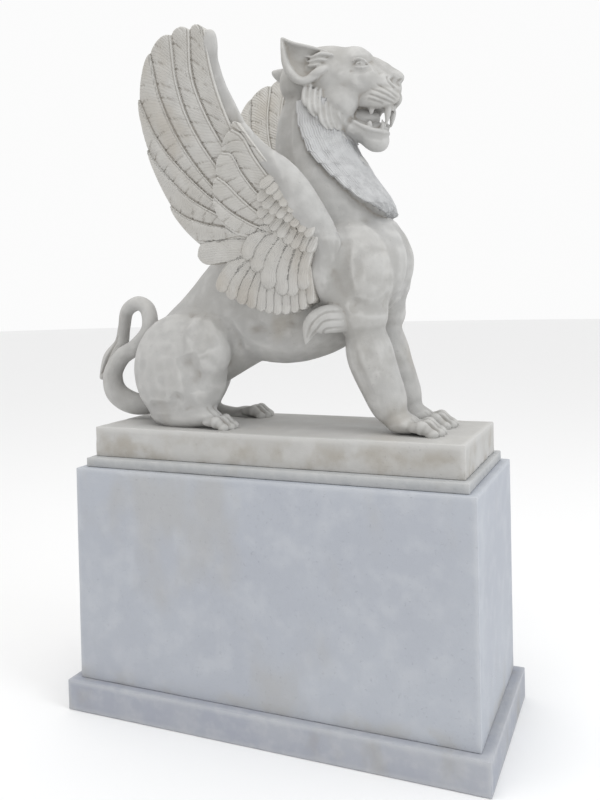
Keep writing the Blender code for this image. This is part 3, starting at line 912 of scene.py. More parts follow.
@dataclass
class Trunk:
    """Barrel, breast, belly, rump and neck."""

    barrel: Spine = (
        (-0.565, 0, 0.17, 0.14, 0.14), (-0.452, 0, 0.252, 0.172, 0.205), (-0.305, 0, 0.355, 0.165, 0.203),
        (-0.15, 0, 0.47, 0.17, 0.225), (0.0, 0, 0.56, 0.188, 0.265), (0.14, 0, 0.62, 0.2, 0.285),
        (0.265, 0, 0.635, 0.192, 0.255), (0.425, 0, 0.605, 0.145, 0.18))
    breast: Lump = ((0.292, 0, 0.6), (0.185, 0.16, 0.195))
    belly: Spine = (
        (-0.4, 0, 0.2, 0.12, 0.08), (-0.19, 0, 0.331, 0.135, 0.098), (0.0, 0, 0.343, 0.145, 0.108),
        (0.15, 0, 0.372, 0.14, 0.108), (0.3, 0, 0.43, 0.13, 0.11))
    neck: Spine = (
        (0.17, 0, 0.62, 0.19, 0.23), (0.17, 0, 0.77, 0.185, 0.23), (0.151, 0, 0.88, 0.172, 0.192),
        (0.118, 0, 0.99, 0.152, 0.154), (0.103, 0, 1.1, 0.134, 0.139), (0.11, 0, 1.23, 0.12, 0.135))
    rump: Lump = ((-0.462, 0, 0.21), (0.18, 0.185, 0.222))
    hollows: tuple[Stroke, ...] = (
        Stroke(((0.275, 0.68), (0.272, 0.6), (0.28, 0.52), (0.3, 0.455)), 0.05, 0.012, **SOFT),
        Stroke(((0.215, 0.7), (0.222, 0.62), (0.236, 0.54)), 0.04, 0.007, **SOFT),
        Stroke(((0.4, 0.64), (0.38, 0.54), (0.33, 0.47)), 0.05, -0.006, **SOFT),
        Stroke(((0.33, 0.452), (0.39, 0.44), (0.44, 0.47)), 0.035, 0.008, span=(0.02, 1.0)),
        Stroke(((-0.13, 0.42), (-0.06, 0.36), (0.04, 0.33), (0.15, 0.345)), 0.045, 0.006, **SOFT),
        Stroke(((0.06, 0.48), (0.02, 0.44), (-0.06, 0.42)), 0.06, -0.006, **SOFT),
        Stroke(((0.0, 0.74), (0.0, 0.66), (0.0, 0.56), (0.0, 0.47)), 0.05, 0.016, View.FRONT,
               span=(0.2, 1.0), sharp=1.4, ends=0.35, sides=NEAR_ONLY),
        Stroke(((0.075, 0.62), (0.085, 0.54), (0.07, 0.48)), 0.055, -0.006, View.FRONT, span=(0.25, 1.0)),
        Stroke(((0.06, 1.23), (0.05, 1.12), (0.06, 1.0), (0.1, 0.88), (0.15, 0.8)), 0.03, 0.005,
               **NECK),
        Stroke(((0.02, 1.22), (0.006, 1.1), (0.02, 0.96)), 0.03, -0.004, **NECK))

    def broad(self) -> list[Skin]:
        """The masses that smoothing runs together."""
        return [Clay.sweep(self.barrel, around=32, along=32), Clay.sweep(self.neck, 5, 32, 20),
                Clay.ball(*self.rump), Clay.sweep(self.belly), Clay.ball(*self.breast)]


@dataclass
class Legs:
    """Thighs, shanks and hind paws, shoulders, forelegs and fore paws.

    Fore_toes and hind_toes are the first five numbers that the method toes takes. A toe's rows are drawn
    in its half thickness, and their second number counts fans.
    """

    far_leg_back: tuple[float, float, float] = (0.11, 0.136, 0.255)
    thigh: Lump = ((-0.398, 0.135, 0.215), (0.197, 0.108, 0.215))
    knee: Lump = ((-0.274, 0.16, 0.298), (0.106, 0.078, 0.122))
    shoulder: Lump = ((0.29, 0.12, 0.56), (0.15, 0.092, 0.185))
    shank: Spine = (
        (-0.264, 0.165, 0.3, 0.055, 0.075), (-0.292, 0.172, 0.18, 0.05, 0.06),
        (-0.302, 0.172, 0.06, 0.05, 0.056))
    hind_foot: Spine = (
        (-0.52, 0.15, 0.05, 0.05, 0.052), (-0.4, 0.16, 0.046, 0.052, 0.048),
        (-0.29, 0.165, 0.052, 0.052, 0.045), (-0.205, 0.165, 0.034, 0.056, 0.034))
    far_hind_foot: Spine = (
        (-0.56, 0.15, 0.045, 0.05, 0.05), (-0.44, 0.162, 0.028, 0.05, 0.036),
        (-0.32, 0.168, 0.012, 0.046, 0.026), (-0.262, 0.168, 0.022, 0.054, 0.028),
        (-0.205, 0.168, 0.016, 0.054, 0.022))
    upper_arm: Spine = (
        (0.27, 0.125, 0.56, 0.085, 0.13), (0.315, 0.118, 0.43, 0.08, 0.105),
        (0.332, 0.11, 0.34, 0.074, 0.092))
    forearm: Spine = (
        (0.322, 0.108, 0.42, 0.08, 0.094), (0.338, 0.108, 0.31, 0.078, 0.094),
        (0.36, 0.106, 0.23, 0.071, 0.082), (0.388, 0.104, 0.16, 0.066, 0.075),
        (0.412, 0.102, 0.095, 0.068, 0.076), (0.43, 0.1, 0.035, 0.072, 0.068))
    fore_foot: Spine = (
        (0.4, 0.1, 0.042, 0.062, 0.042), (0.47, 0.098, 0.042, 0.066, 0.036),
        (0.526, 0.096, 0.024, 0.066, 0.022))
    fore_toes: tuple[float, ...] = (0.505, 0.096, 0.052, 0.09, 0.022)
    hind_toes: tuple[float, ...] = (-0.25, 0.163, 0.041, 0.092, 0.02)
    elbow_tuft: Spine = (
        (0.316, 0.146, 0.396, 0.03, 0.06), (0.24, 0.19, 0.408, 0.03, 0.052),
        (0.172, 0.2, 0.385, 0.027, 0.04), (0.142, 0.2, 0.318, 0.012, 0.012))
    toe_slim: float = 0.8
    toe_fan: float = 0.1
    toe_shorter: float = 0.16
    toe_root: Station = (-1, -1, 1.5, 1, 1)
    toe_bones: Spine = (
        (-2.2, 0, 1.6, 1, 0.95), (-1.1, 1, 1.1, 1, 0.85), (0, 2, 0.62, 0.9, 0.62))
    toe_lumps: tuple[tuple[float, ...], ...] = (
        (-2.1, 0, 1.62, 1.15, 1.16, 1.12), (-0.55, 1, 0.72, 0.98, 1.1, 0.8))
    claw: Spine = (
        (-0.2, 2, 1.02, 0.34, 0.34), (0.3, 2, 0.8, 0.26, 0.3), (0.45, 2, 0.34, 0.1, 0.14))
    gaps: tuple[float, ...] = (-2 / 3, 0.0, 2 / 3)
    gap_half: float = 0.36
    gap_depth: float = 0.2
    tuft_strands: tuple[float, ...] = (0.1, 0.42, 0.74)
    hollows: tuple[Stroke, ...] = (
        Stroke(((-0.3, 0.395), (-0.258, 0.35), (-0.232, 0.29)), 0.052, 0.009, **THIGH),
        Stroke(((-0.318, 0.285), (-0.296, 0.225), (-0.284, 0.14)), 0.05, 0.009, **THIGH),
        Stroke(((-0.25, 0.27), (-0.235, 0.215), (-0.245, 0.15)), 0.035, -0.006, **THIGH),
        Stroke(((-0.36, 0.12), (-0.4, 0.09), (-0.47, 0.085)), 0.03, 0.007, span=(0.1, 1.0)),
        Stroke(((-0.44, 0.4), (-0.35, 0.41), (-0.27, 0.4)), 0.05, -0.006, **THIGH),
        Stroke(((-0.186, 0.42), (-0.15, 0.34), (-0.15, 0.28), (-0.175, 0.215)), 0.022, 0.006,
               span=(0.1, 1.0), ends=0.4, sides=NEAR_ONLY),
        Stroke(((0.345, 0.345), (0.366, 0.29), (0.384, 0.22)), 0.032, 0.005, span=(0.06, 1.0), ends=0.4),
        Stroke(((0.296, 0.345), (0.316, 0.265), (0.346, 0.19), (0.376, 0.11)), 0.024, 0.005,
               span=(0.04, 1.0), ends=0.35),
        Stroke(((0.09, 0.42), (0.096, 0.32), (0.098, 0.2), (0.098, 0.1)), 0.026, -0.003, View.FRONT,
               span=(0.3, 1.0), ends=0.35))

    def broad(self) -> list[Skin]:
        """The masses that smoothing runs together.

        Returns:
            The skins of all four legs.
        """
        skins = []
        for side in Side:
            thigh_back, knee_back, shank_back = self.far_leg_back if side is Side.FAR else (0, 0, 0)
            for ((x, *rest), radii), back in ((self.thigh, thigh_back), (self.knee, knee_back),
                                              (self.shoulder, 0)):
                skins.append(Clay.lump((x - back, *rest), radii, side))
            shank = [(x - shank_back, *rest) for x, *rest in self.shank]
            hind_foot = self.far_hind_foot if side is Side.FAR else self.hind_foot
            for stations in (shank, self.upper_arm, self.forearm, hind_foot, self.fore_foot):
                skins.append(Clay.limb(stations, side))
        return skins

    @staticmethod
    def _on_toe(rows: Sequence[Station], x: float, y: float, fan: float, size: float,
                wide: float) -> list[Station]:
        """Rows drawn in half thicknesses, set on a toe that starts at x and y and is size by wide."""
        return [(x + size * along, y + fans * fan, size * height, wide * thick, size * deep)
                for along, fans, height, thick, deep in rows]

    def toes(self, start: float, middle: float, spread: float, reach: float, size: float,
             side: Side) -> list[Skin]:
        """Four toes of a paw, each with a high knuckle, a low tip and a claw.

        Args:
            start: Where they start along the paw.
            middle: Distance of the paw's middle from the middle plane.
            spread: Half the distance between the outer toes.
            reach: How far they reach from their start.
            size: Half thickness of a toe.
            side: The flank.

        Returns:
            The skins.
        """
        skins = []
        thick = size * self.toe_slim
        for offset in (-1.0, -1 / 3, 1 / 3, 1.0):
            y = middle + offset * spread
            tip = start + reach * (1 - self.toe_shorter * offset ** 2)
            fan = self.toe_fan * offset * size
            bones = (self._on_toe([self.toe_root], start, y, fan, size, thick)
                     + self._on_toe(self.toe_bones, tip, y, fan, size, thick))
            skins.append(Clay.limb(bones, side, 3, 20, 20))
            for along, fans, height, long, wide, high in self.toe_lumps:
                skins.append(Clay.lump((tip + size * along, y + fans * fan, size * height),
                                       (size * long, thick * wide, size * high), side))
            skins.append(Clay.limb(self._on_toe(self.claw, tip, y, fan, size, size), side, 3, 10, 10))
        return skins

    def crisp(self) -> list[Skin]:
        """Toes and the tufts behind the elbows, which keep their edges."""
        skins = []
        for side in Side:
            skins.append(Clay.limb(self.elbow_tuft, side))
            skins += self.toes(*self.fore_toes, side) + self.toes(*self.hind_toes, side)
        return skins

    def strokes(self) -> list[Stroke]:
        """Hollows of the thighs and forelegs, gaps between the toes and strands of the elbows' tufts.

        Returns:
            The strokes.
        """
        cuts = list(self.hollows)
        for start, middle, spread, reach, size in (self.fore_toes, self.hind_toes):
            for gap in self.gaps:
                y = middle + gap * spread
                line = tuple((x, y) for x in (start - 0.6 * size, start + 0.4 * reach, start + 1.02 * reach))
                cuts.append(Stroke(line, size * self.gap_half, size * self.gap_depth, View.TOP,
                                   span=(-0.03, 0.12), ends=0.25))
        for number, lift in enumerate(self.tuft_strands):
            line = ((0.29, 0.44 - 0.085 * lift), (0.225, 0.438 - 0.09 * lift),
                    (0.178 + 0.012 * number, 0.4 - 0.075 * lift), (0.15 + 0.008 * number, 0.335))
            cuts.append(Stroke(line, 0.0055, 0.0032, span=(0.14, 1.0), ends=0.25))
        return cuts


@dataclass
class Tail:
    """The tail, rising from under the rump in a double bend to its pointed tuft."""

    course: Spine = (
        (-0.56, 0.0, 0.07, 0.056, 0.056), (-0.665, -0.03, 0.066, 0.055, 0.054),
        (-0.74, -0.05, 0.108, 0.05, 0.05), (-0.754, -0.058, 0.185, 0.042, 0.041),
        (-0.71, -0.058, 0.256, 0.036, 0.036), (-0.64, -0.055, 0.3, 0.033, 0.033),
        (-0.584, -0.05, 0.365, 0.032, 0.032), (-0.594, -0.035, 0.44, 0.032, 0.031),
        (-0.652, -0.015, 0.47, 0.031, 0.03), (-0.716, 0.0, 0.44, 0.029, 0.028),
        (-0.74, 0.01, 0.37, 0.027, 0.027), (-0.756, 0.01, 0.305, 0.032, 0.032),
        (-0.806, 0.004, 0.238, 0.038, 0.044), (-0.852, -0.002, 0.158, 0.016, 0.018))
    strand_lifts: tuple[float, ...] = (-0.028, -0.01, 0.01, 0.03)

    def crisp(self) -> list[Skin]:
        """The tail's one mass."""
        return [Clay.sweep(self.course, 6, 28, 150)]

    def strokes(self) -> list[Stroke]:
        """Strands of the tuft."""
        return [Stroke(((-0.752, 0.315 - lift), (-0.79 - lift / 3, 0.262 - lift), (-0.842, 0.178)),
                       0.007, 0.004, span=(-0.2, 1.0), ends=0.2) for lift in self.strand_lifts]


@dataclass
class Head:
    """Skull, face, nose, jaws with teeth and tongue, eyes and ears."""

    skull: Lump = ((0.165, 0, 1.272), (0.18, 0.118, 0.121))
    forehead: Lump = ((0.276, 0, 1.31), (0.077, 0.084, 0.069))
    cheek: Lump = ((0.212, 0.06, 1.178), (0.102, 0.048, 0.082))
    face: Spine = (
        (0.17, 0, 1.24, 0.105, 0.1), (0.29, 0, 1.243, 0.094, 0.094), (0.365, 0, 1.218, 0.072, 0.078),
        (0.447, 0, 1.2, 0.058, 0.066))
    jaw: Spine = (
        (0.18, 0, 1.128, 0.1, 0.066), (0.262, 0, 1.086, 0.084, 0.042), (0.33, 0, 1.062, 0.064, 0.036),
        (0.398, 0, 1.05, 0.048, 0.036))
    nose: Spine = (
        (0.25, 0, 1.295, 0.05, 0.05), (0.335, 0, 1.296, 0.038, 0.044), (0.405, 0, 1.261, 0.033, 0.032),
        (0.456, 0, 1.241, 0.034, 0.029))
    whisker_pad: Spine = (
        (0.28, 0.054, 1.17, 0.016, 0.026), (0.33, 0.05, 1.178, 0.024, 0.036),
        (0.37, 0.043, 1.18, 0.031, 0.04), (0.408, 0.032, 1.18, 0.03, 0.04),
        (0.444, 0.01, 1.178, 0.018, 0.03))
    chin: Spine = (
        (0.25, 0, 1.098, 0.084, 0.038), (0.308, 0, 1.066, 0.064, 0.038), (0.358, 0, 1.034, 0.054, 0.046),
        (0.401, 0, 1.034, 0.038, 0.036))
    eyeball: Lump = ((0.318, 0.067, 1.296), (0.02, 0.018, 0.014))
    nape_tuft: Spine = (
        (0.06, 0, 1.29, 0.04, 0.048), (0.004, 0, 1.305, 0.026, 0.032), (-0.028, 0, 1.318, 0.016, 0.02),
        (-0.048, 0, 1.328, 0.012, 0.012))
    ear_top: tuple[Place, ...] = ((0.21, 0.1, 1.346), (0.145, 0.124, 1.368), (0.09, 0.128, 1.386))
    ear_low: tuple[Place, ...] = ((0.19, 0.12, 1.274), (0.122, 0.146, 1.246), (0.066, 0.142, 1.306))
    ear_tip_near: Place = (0.044, 0.128, 1.412)
    ear_tip_far: Place = (0.03, 0.115, 1.434)
    throat: Spine = (
        (0.215, 0, 1.12, 0.052, 0.052), (0.285, 0, 1.12, 0.042, 0.042), (0.366, 0, 1.114, 0.027, 0.024))
    tongue: Spine = ((0.32, 0, 1.08, 0.034, 0.024), (0.388, 0, 1.08, 0.024, 0.018))
    teeth: tuple[Spine, ...] = (
        ((0.404, 0.031, 1.162, 0.011, 0.014), (0.405, 0.031, 1.122, 0.01, 0.0125),
         (0.398, 0.03, 1.078, 0.004, 0.004)),
        ((0.378, 0.03, 1.056, 0.009, 0.01), (0.386, 0.03, 1.082, 0.007, 0.008),
         (0.383, 0.029, 1.106, 0.003, 0.003)),
        ((0.352, 0.046, 1.16, 0.01, 0.014), (0.35, 0.045, 1.136, 0.008, 0.011),
         (0.348, 0.044, 1.12, 0.004, 0.005)),
        ((0.34, 0.044, 1.07, 0.009, 0.013), (0.342, 0.044, 1.09, 0.007, 0.01),
         (0.342, 0.043, 1.102, 0.004, 0.004)))
    upper_incisor: Lump = ((0.419, 0.007, 1.142), (0.006, 0.005, 0.013))
    lower_incisor: Lump = ((0.388, 0.007, 1.074), (0.005, 0.0045, 0.01))
    incisor_pitch: tuple[float, float] = (-0.003, 0.009)
    lower_lip: Spine = (
        (0.28, 0.066, 1.106, 0.009, 0.01), (0.312, 0.062, 1.084, 0.008, 0.009),
        (0.352, 0.051, 1.066, 0.008, 0.009), (0.386, 0.028, 1.06, 0.009, 0.01),
        (0.394, 0.0, 1.06, 0.009, 0.01))
    lids: tuple[Spine, ...] = (
        ((0.29, 0.072, 1.296, 0.005, 0.0035), (0.302, 0.081, 1.309, 0.005, 0.004),
         (0.32, 0.083, 1.313, 0.005, 0.004), (0.338, 0.074, 1.306, 0.005, 0.004),
         (0.35, 0.062, 1.292, 0.004, 0.003)),
        ((0.292, 0.073, 1.293, 0.004, 0.003), (0.308, 0.081, 1.284, 0.004, 0.003),
         (0.328, 0.079, 1.281, 0.004, 0.003), (0.346, 0.066, 1.287, 0.004, 0.003)))
    ear_lock: tuple[tuple[float, ...], ...] = (
        (0.23, -0.01, 0.094, 1.334, 1.0, 0.01, 0.009), (0.19, -0.006, 0.112, 1.338, 0.9, 0.0095, 0.008),
        (0.158, -0.006, 0.115, 1.33, 0.7, 0.0075, 0.006), (0.12, 0.012, 0.108, 1.342, 0.9, 0.002, 0.002))
    ear_lock_drop: float = 0.021
    ear_root: Spine = (
        (0.216, 0.104, 1.29, 0.012, 0.016), (0.18, 0.12, 1.276, 0.011, 0.015),
        (0.136, 0.13, 1.25, 0.01, 0.01))
    ear_cup: float = 0.034
    ear_tip_thick: float = 0.014
    ear_root_thick: float = 0.059
    low_rim: float = 0.0155
    top_rim: float = 0.0065
    rim_in: float = 0.7
    rim_tip_in: float = 0.005
    rim_tip_half: float = 0.006
    hollows: tuple[Stroke, ...] = (
        Stroke(((0.372, 1.222), (0.398, 1.208), (0.425, 1.188), (0.444, 1.17)), 0.0055, 0.0034, **WHISKER),
        Stroke(((0.354, 1.207), (0.384, 1.194), (0.418, 1.175), (0.44, 1.16)), 0.0055, 0.0034, **WHISKER),
        Stroke(((0.344, 1.19), (0.374, 1.177), (0.408, 1.161), (0.432, 1.15)), 0.0055, 0.0034, **WHISKER),
        Stroke(((0.344, 1.172), (0.37, 1.162), (0.398, 1.15)), 0.005, 0.0026, **WHISKER),
        Stroke(((0.424, 1.24), (0.432, 1.228), (0.446, 1.216)), 0.01, 0.01, span=(0.012, 1.0)),
        Stroke(((0.408, 1.246), (0.414, 1.228), (0.43, 1.208)), 0.006, 0.004, span=(0.012, 1.0)),
        Stroke(((0.0, 1.236), (0.0, 1.2), (0.0, 1.16)), 0.005, 0.006, View.FRONT, span=(0.4, 1.0),
               sides=NEAR_ONLY),
        Stroke(((0.014, 1.236), (0.02, 1.228), (0.014, 1.22)), 0.008, 0.005, View.FRONT, span=(0.42, 1.0)),
        Stroke(((0.35, 1.306), (0.366, 1.286), (0.384, 1.262)), 0.012, 0.004, span=(0.02, 1.0)),
        Stroke(((0.292, 1.27), (0.322, 1.265), (0.352, 1.274)), 0.01, 0.002, **SKULL),
        Stroke(((0.24, 1.262), (0.275, 1.245), (0.31, 1.222), (0.33, 1.19)), 0.03, -0.003, ends=0.35,
               **SKULL),
        Stroke(((0.226, 1.33), (0.25, 1.3), (0.262, 1.268)), 0.03, 0.003, ends=0.35, **SKULL),
        Stroke(((0.0, 1.38), (0.0, 1.35), (0.0, 1.32)), 0.018, 0.004, View.FRONT, span=(0.2, 1.0),
               sides=NEAR_ONLY),
        Stroke(((0.284, 1.11), (0.268, 1.09), (0.25, 1.064)), 0.014, 0.005, **SKULL),
        Stroke(((0.322, 1.056), (0.35, 1.04), (0.386, 1.036)), 0.013, 0.003, span=(0.01, 1.0), ends=0.3),
        Stroke(((0.303, 1.297), (0.312, 1.303), (0.322, 1.303)), 0.004, 0.002, span=(0.06, 1.0)),
        Stroke(((0.318, 1.293), (0.32, 1.293), (0.322, 1.294)), 0.006, 0.004, span=(0.06, 1.0)))

    def broad(self) -> list[Skin]:
        """The masses that smoothing runs together."""
        cheeks = [Clay.lump(*self.cheek, side) for side in Side]
        return [Clay.ball(*self.skull), Clay.ball(*self.forehead),
                *(Clay.sweep(stations) for stations in (self.face, self.jaw, self.chin)), *cheeks]

    def ear(self, tip: Place, side: Side) -> Skin:
        """A big pointed ear laid back, cupped outwards.

        Args:
            tip: Its tip, y as a distance from the middle plane.
            side: The flank.

        Returns:
            The skin.
        """
        share, t = np.linspace(0, 1, 36), np.linspace(-1, 1, 33)
        top, low = smooth_curve([*self.ear_top, tip], share), smooth_curve([*self.ear_low, tip], share)
        middle, half = (top + low) / 2, (top - low) / 2
        front = middle[:, None, :] + t[None, :, None] * half[:, None, :]
        front[..., 1] -= self.ear_cup * (1 - t[None, :] ** 2) * (1 - share[:, None] ** 2)
        back = front.copy()
        back[..., 1] -= self.ear_root_thick + (self.ear_tip_thick - self.ear_root_thick) * share[:, None]
        for grid in (front, back):
            grid[..., 1] *= side.value
        return Clay.sheet(front, back)

    def mouth(self) -> list[Skin]:
        """Teeth of both jaws, the tongue and the lower lip.

        Returns:
            The skins.
        """
        skins = [Clay.sweep(self.throat, 5), Clay.sweep(self.tongue)]
        back, out = self.incisor_pitch
        for side in Side:
            skins += [Clay.limb(tooth, side, 3, 12, 12) for tooth in self.teeth]
            for number in range(3):
                for (x, y, height), radii in (self.upper_incisor, self.lower_incisor):
                    skins.append(Clay.lump((x + back * number, y + out * number, height), radii, side, 10))
            skins.append(Clay.limb(self.lower_lip, side, 4, 12, 24))
        return skins

    def crisp(self) -> list[Skin]:
        """Nose, whisker pads, lids, eyeballs, ears, teeth and the nape's tuft, which keep their edges.

        Returns:
            The skins.
        """
        skins = [Clay.sweep(self.nose), Clay.sweep(self.nape_tuft), *self.mouth()]
        for side, tip in ((Side.NEAR, self.ear_tip_near), (Side.FAR, self.ear_tip_far)):
            skins += [self.ear(tip, side), Clay.limb(self.whisker_pad, side), Clay.lump(*self.eyeball, side)]
            skins += [Clay.limb(lid, side, 5, 10, 24) for lid in self.lids]
            for number in range(3):
                drop = self.ear_lock_drop * number
                skins.append(Clay.limb([(x + pitch * number, y, height - drop * share, wide, deep)
                                        for x, pitch, y, height, share, wide, deep in self.ear_lock],
                                       side, 3, 12, 20))
            skins.append(Clay.limb(self.ear_root, side, 3, 14, 16))
            for rim, thick in ((self.ear_low, self.low_rim), (self.ear_top, self.top_rim)):
                rows = [(x, y - thick * self.rim_in, height, thick, thick) for x, y, height in rim]
                rows.append((tip[0], tip[1] - self.rim_tip_in, tip[2], self.rim_tip_half, self.rim_tip_half))
                skins.append(Clay.limb(rows, side, 8, 14, 40))
        return skins


@dataclass
class Beard:
    """The combed panel that hangs round the throat, its ragged edge and the locks along the jaw."""

    neck: Spine
    cheek: Lump
    edge: Line = (
        (1.18, 94), (1.084, 87), (0.991, 78), (0.9, 63), (0.828, 50), (0.796, 38), (0.777, 28),
        (0.765, 18), (0.758, 9))
    front: Line = (
        (1.18, 0.25), (1.084, 0.258), (1.032, 0.272), (0.967, 0.301), (0.897, 0.35), (0.836, 0.393),
        (0.8, 0.408), (0.78, 0.408), (0.766, 0.398), (0.758, 0.384))
    proud_top: float = 0.013
    proud_tip: float = 0.034
    depth: float = 0.03
    ragged: float = 2.0
    points_of_edge: int = 9
    strands: int = 26
    strand_depth: float = 0.002
    locks: int = 9
    lock_roots: Line = (
        (0.134, 1.222), (0.16, 1.206), (0.186, 1.186), (0.214, 1.158), (0.236, 1.138), (0.258, 1.122))
    lock_tips: Line = (
        (0.146, 1.146), (0.176, 1.11), (0.206, 1.078), (0.236, 1.053), (0.26, 1.054), (0.28, 1.062))
    lock_half_width: float = 0.0115
    lock_half_depth: float = 0.0095
    lock_proud: float = 0.005
    lock_sink: float = 0.022
    lock_wander: float = 0.16
    lock_course: tuple[Place, ...] = (
        (-0.25, 0.004, 1.0), (0.2, -0.004, 1.05), (0.65, -0.007, 1.0), (0.9, -0.001, 0.6),
        (1.05, 0.01, 0.25))
    rim_height: float = 0.005
    rows: int = 150
    columns: int = 161
    comb_every: int = 2

    def throat(self, height: Union[Array, float]) -> tuple[Array, Array, Array]:
        """Section of the throat under the panel.

        Args:
            height: One height or more.

        Returns:
            x of its middle, its half width and x of its front there.
        """
        neck, front = np.array(self.neck), np.array(self.front)
        return (np.interp(height, neck[:, 2], neck[:, 0]), np.interp(height, neck[:, 2], neck[:, 3]),
                np.interp(-height, -front[:, 0], front[:, 1]))

    def surface(self, height: Array, angle: Array, proud: Array) -> Array:
        """Places on the panel.

        Args:
            height: Heights, one for each row.
            angle: Angles round the neck by row and column.
            proud: How far the panel stands off the neck, by row.

        Returns:
            Places by row and column.
        """
        middle, wide, front = (numbers[:, None] for numbers in self.throat(height))
        return np.stack([middle + (front - middle + proud - self.proud_top) * np.cos(angle),
                         (wide + proud) * np.sin(angle), height[:, None] + 0 * angle], axis=2)

    def out(self, x: float, height: float) -> float:
        """Distance of the panel's face from the middle plane.

        Args:
            x: Place along the animal.
            height: Height of the place.

        Returns:
            The distance, or the cheek's where that is more.
        """
        middle, wide, front = self.throat(height)
        panel = (wide + self.proud_top) * math.sqrt(max(0.0, 1 - ((x - middle) / (front - middle)) ** 2))
        (mid_x, mid_y, mid_height), (long, thick, high) = self.cheek
        left = 1 - ((x - mid_x) / long) ** 2 - ((height - mid_height) / high) ** 2
        return max(panel, mid_y + thick * math.sqrt(max(0.0, left)))

    def grids(self) -> tuple[Array, Array, Array, Array]:
        """Outer and inner face of the panel with each place's share across and row.

        Returns:
            Outer places, inner places, shares from edge to edge and shares from top to tip.
        """
        share, t = np.linspace(0, 1, self.rows), np.linspace(-1, 1, self.columns)
        edge = np.array(self.edge)
        height = edge[0, 0] + (edge[-1, 0] - edge[0, 0]) * share
        reach = np.interp(-height, -edge[:, 0], edge[:, 1])
        tooth = share * self.points_of_edge % 1.0
        reach = reach + self.ragged * (tooth - 0.5) * held(reach / 40)
        angle = np.radians(reach)[:, None] * t
        share = share[:, None]
        strand = np.sin(t * self.strands * math.pi + 0.9 * np.sin(share * 6))
        coarse = np.sin(t * 8.5 * math.pi + 0.8 * np.sin(share * 4))
        relief = self.strand_depth * (0.4 * strand + 0.8 * coarse) * held(share * 6)
        rim = self.rim_height * held((np.abs(t) - 0.8) / 0.12) * held(share * 3 - 0.6)
        swell = (self.proud_tip - self.proud_top) * share ** 3 * np.clip(np.abs(t), 0.3, 1)
        return (self.surface(height, angle, self.proud_top + relief + rim + swell),
                self.surface(height, angle, self.proud_top - self.depth), np.broadcast_to(t, angle.shape),
                np.broadcast_to(share, angle.shape))

    def crisp(self) -> list[Skin]:
        """The panel and the locks on both cheeks.

        Returns:
            The skins.
        """
        outer, inner, _, _ = self.grids()
        skins = [Clay.sheet(outer, inner)]
        wide, deep = self.lock_half_width, self.lock_half_depth
        shares = np.linspace(0, 1, self.locks)
        for side in Side:
            pairs = zip(smooth_curve(self.lock_roots, shares), smooth_curve(self.lock_tips, shares))
            for number, (root, tip) in enumerate(pairs):
                stations = []
                reach = 1.0 + self.lock_wander * math.sin(2.4 * number)
                for share, bend, width in self.lock_course:
                    x, height = root + (tip - root) * share * reach + [bend * reach, 0]
                    out = self.out(x, height) + self.lock_proud - self.lock_sink * max(0.0, 0.5 - share)
                    stations.append((x, out, height, wide * width, deep * width))
                skins.append(Clay.limb(stations, side, 3, 16, 24))
        return skins

    def comb(self) -> Comb:
        """Strands over the panel.

        Returns:
            Samples with the strand's number.
        """
        outer, _, t, share = (grid[::self.comb_every, ::self.comb_every] for grid in self.grids())
        return Comb.over(outer, (t * self.strands + 0.4 * np.sin(share * 9))[..., None], 0)


class Plume(Enum):
    """How a feather is drawn."""

    BAND = 0
    TILE = 1
    COVERT = 2


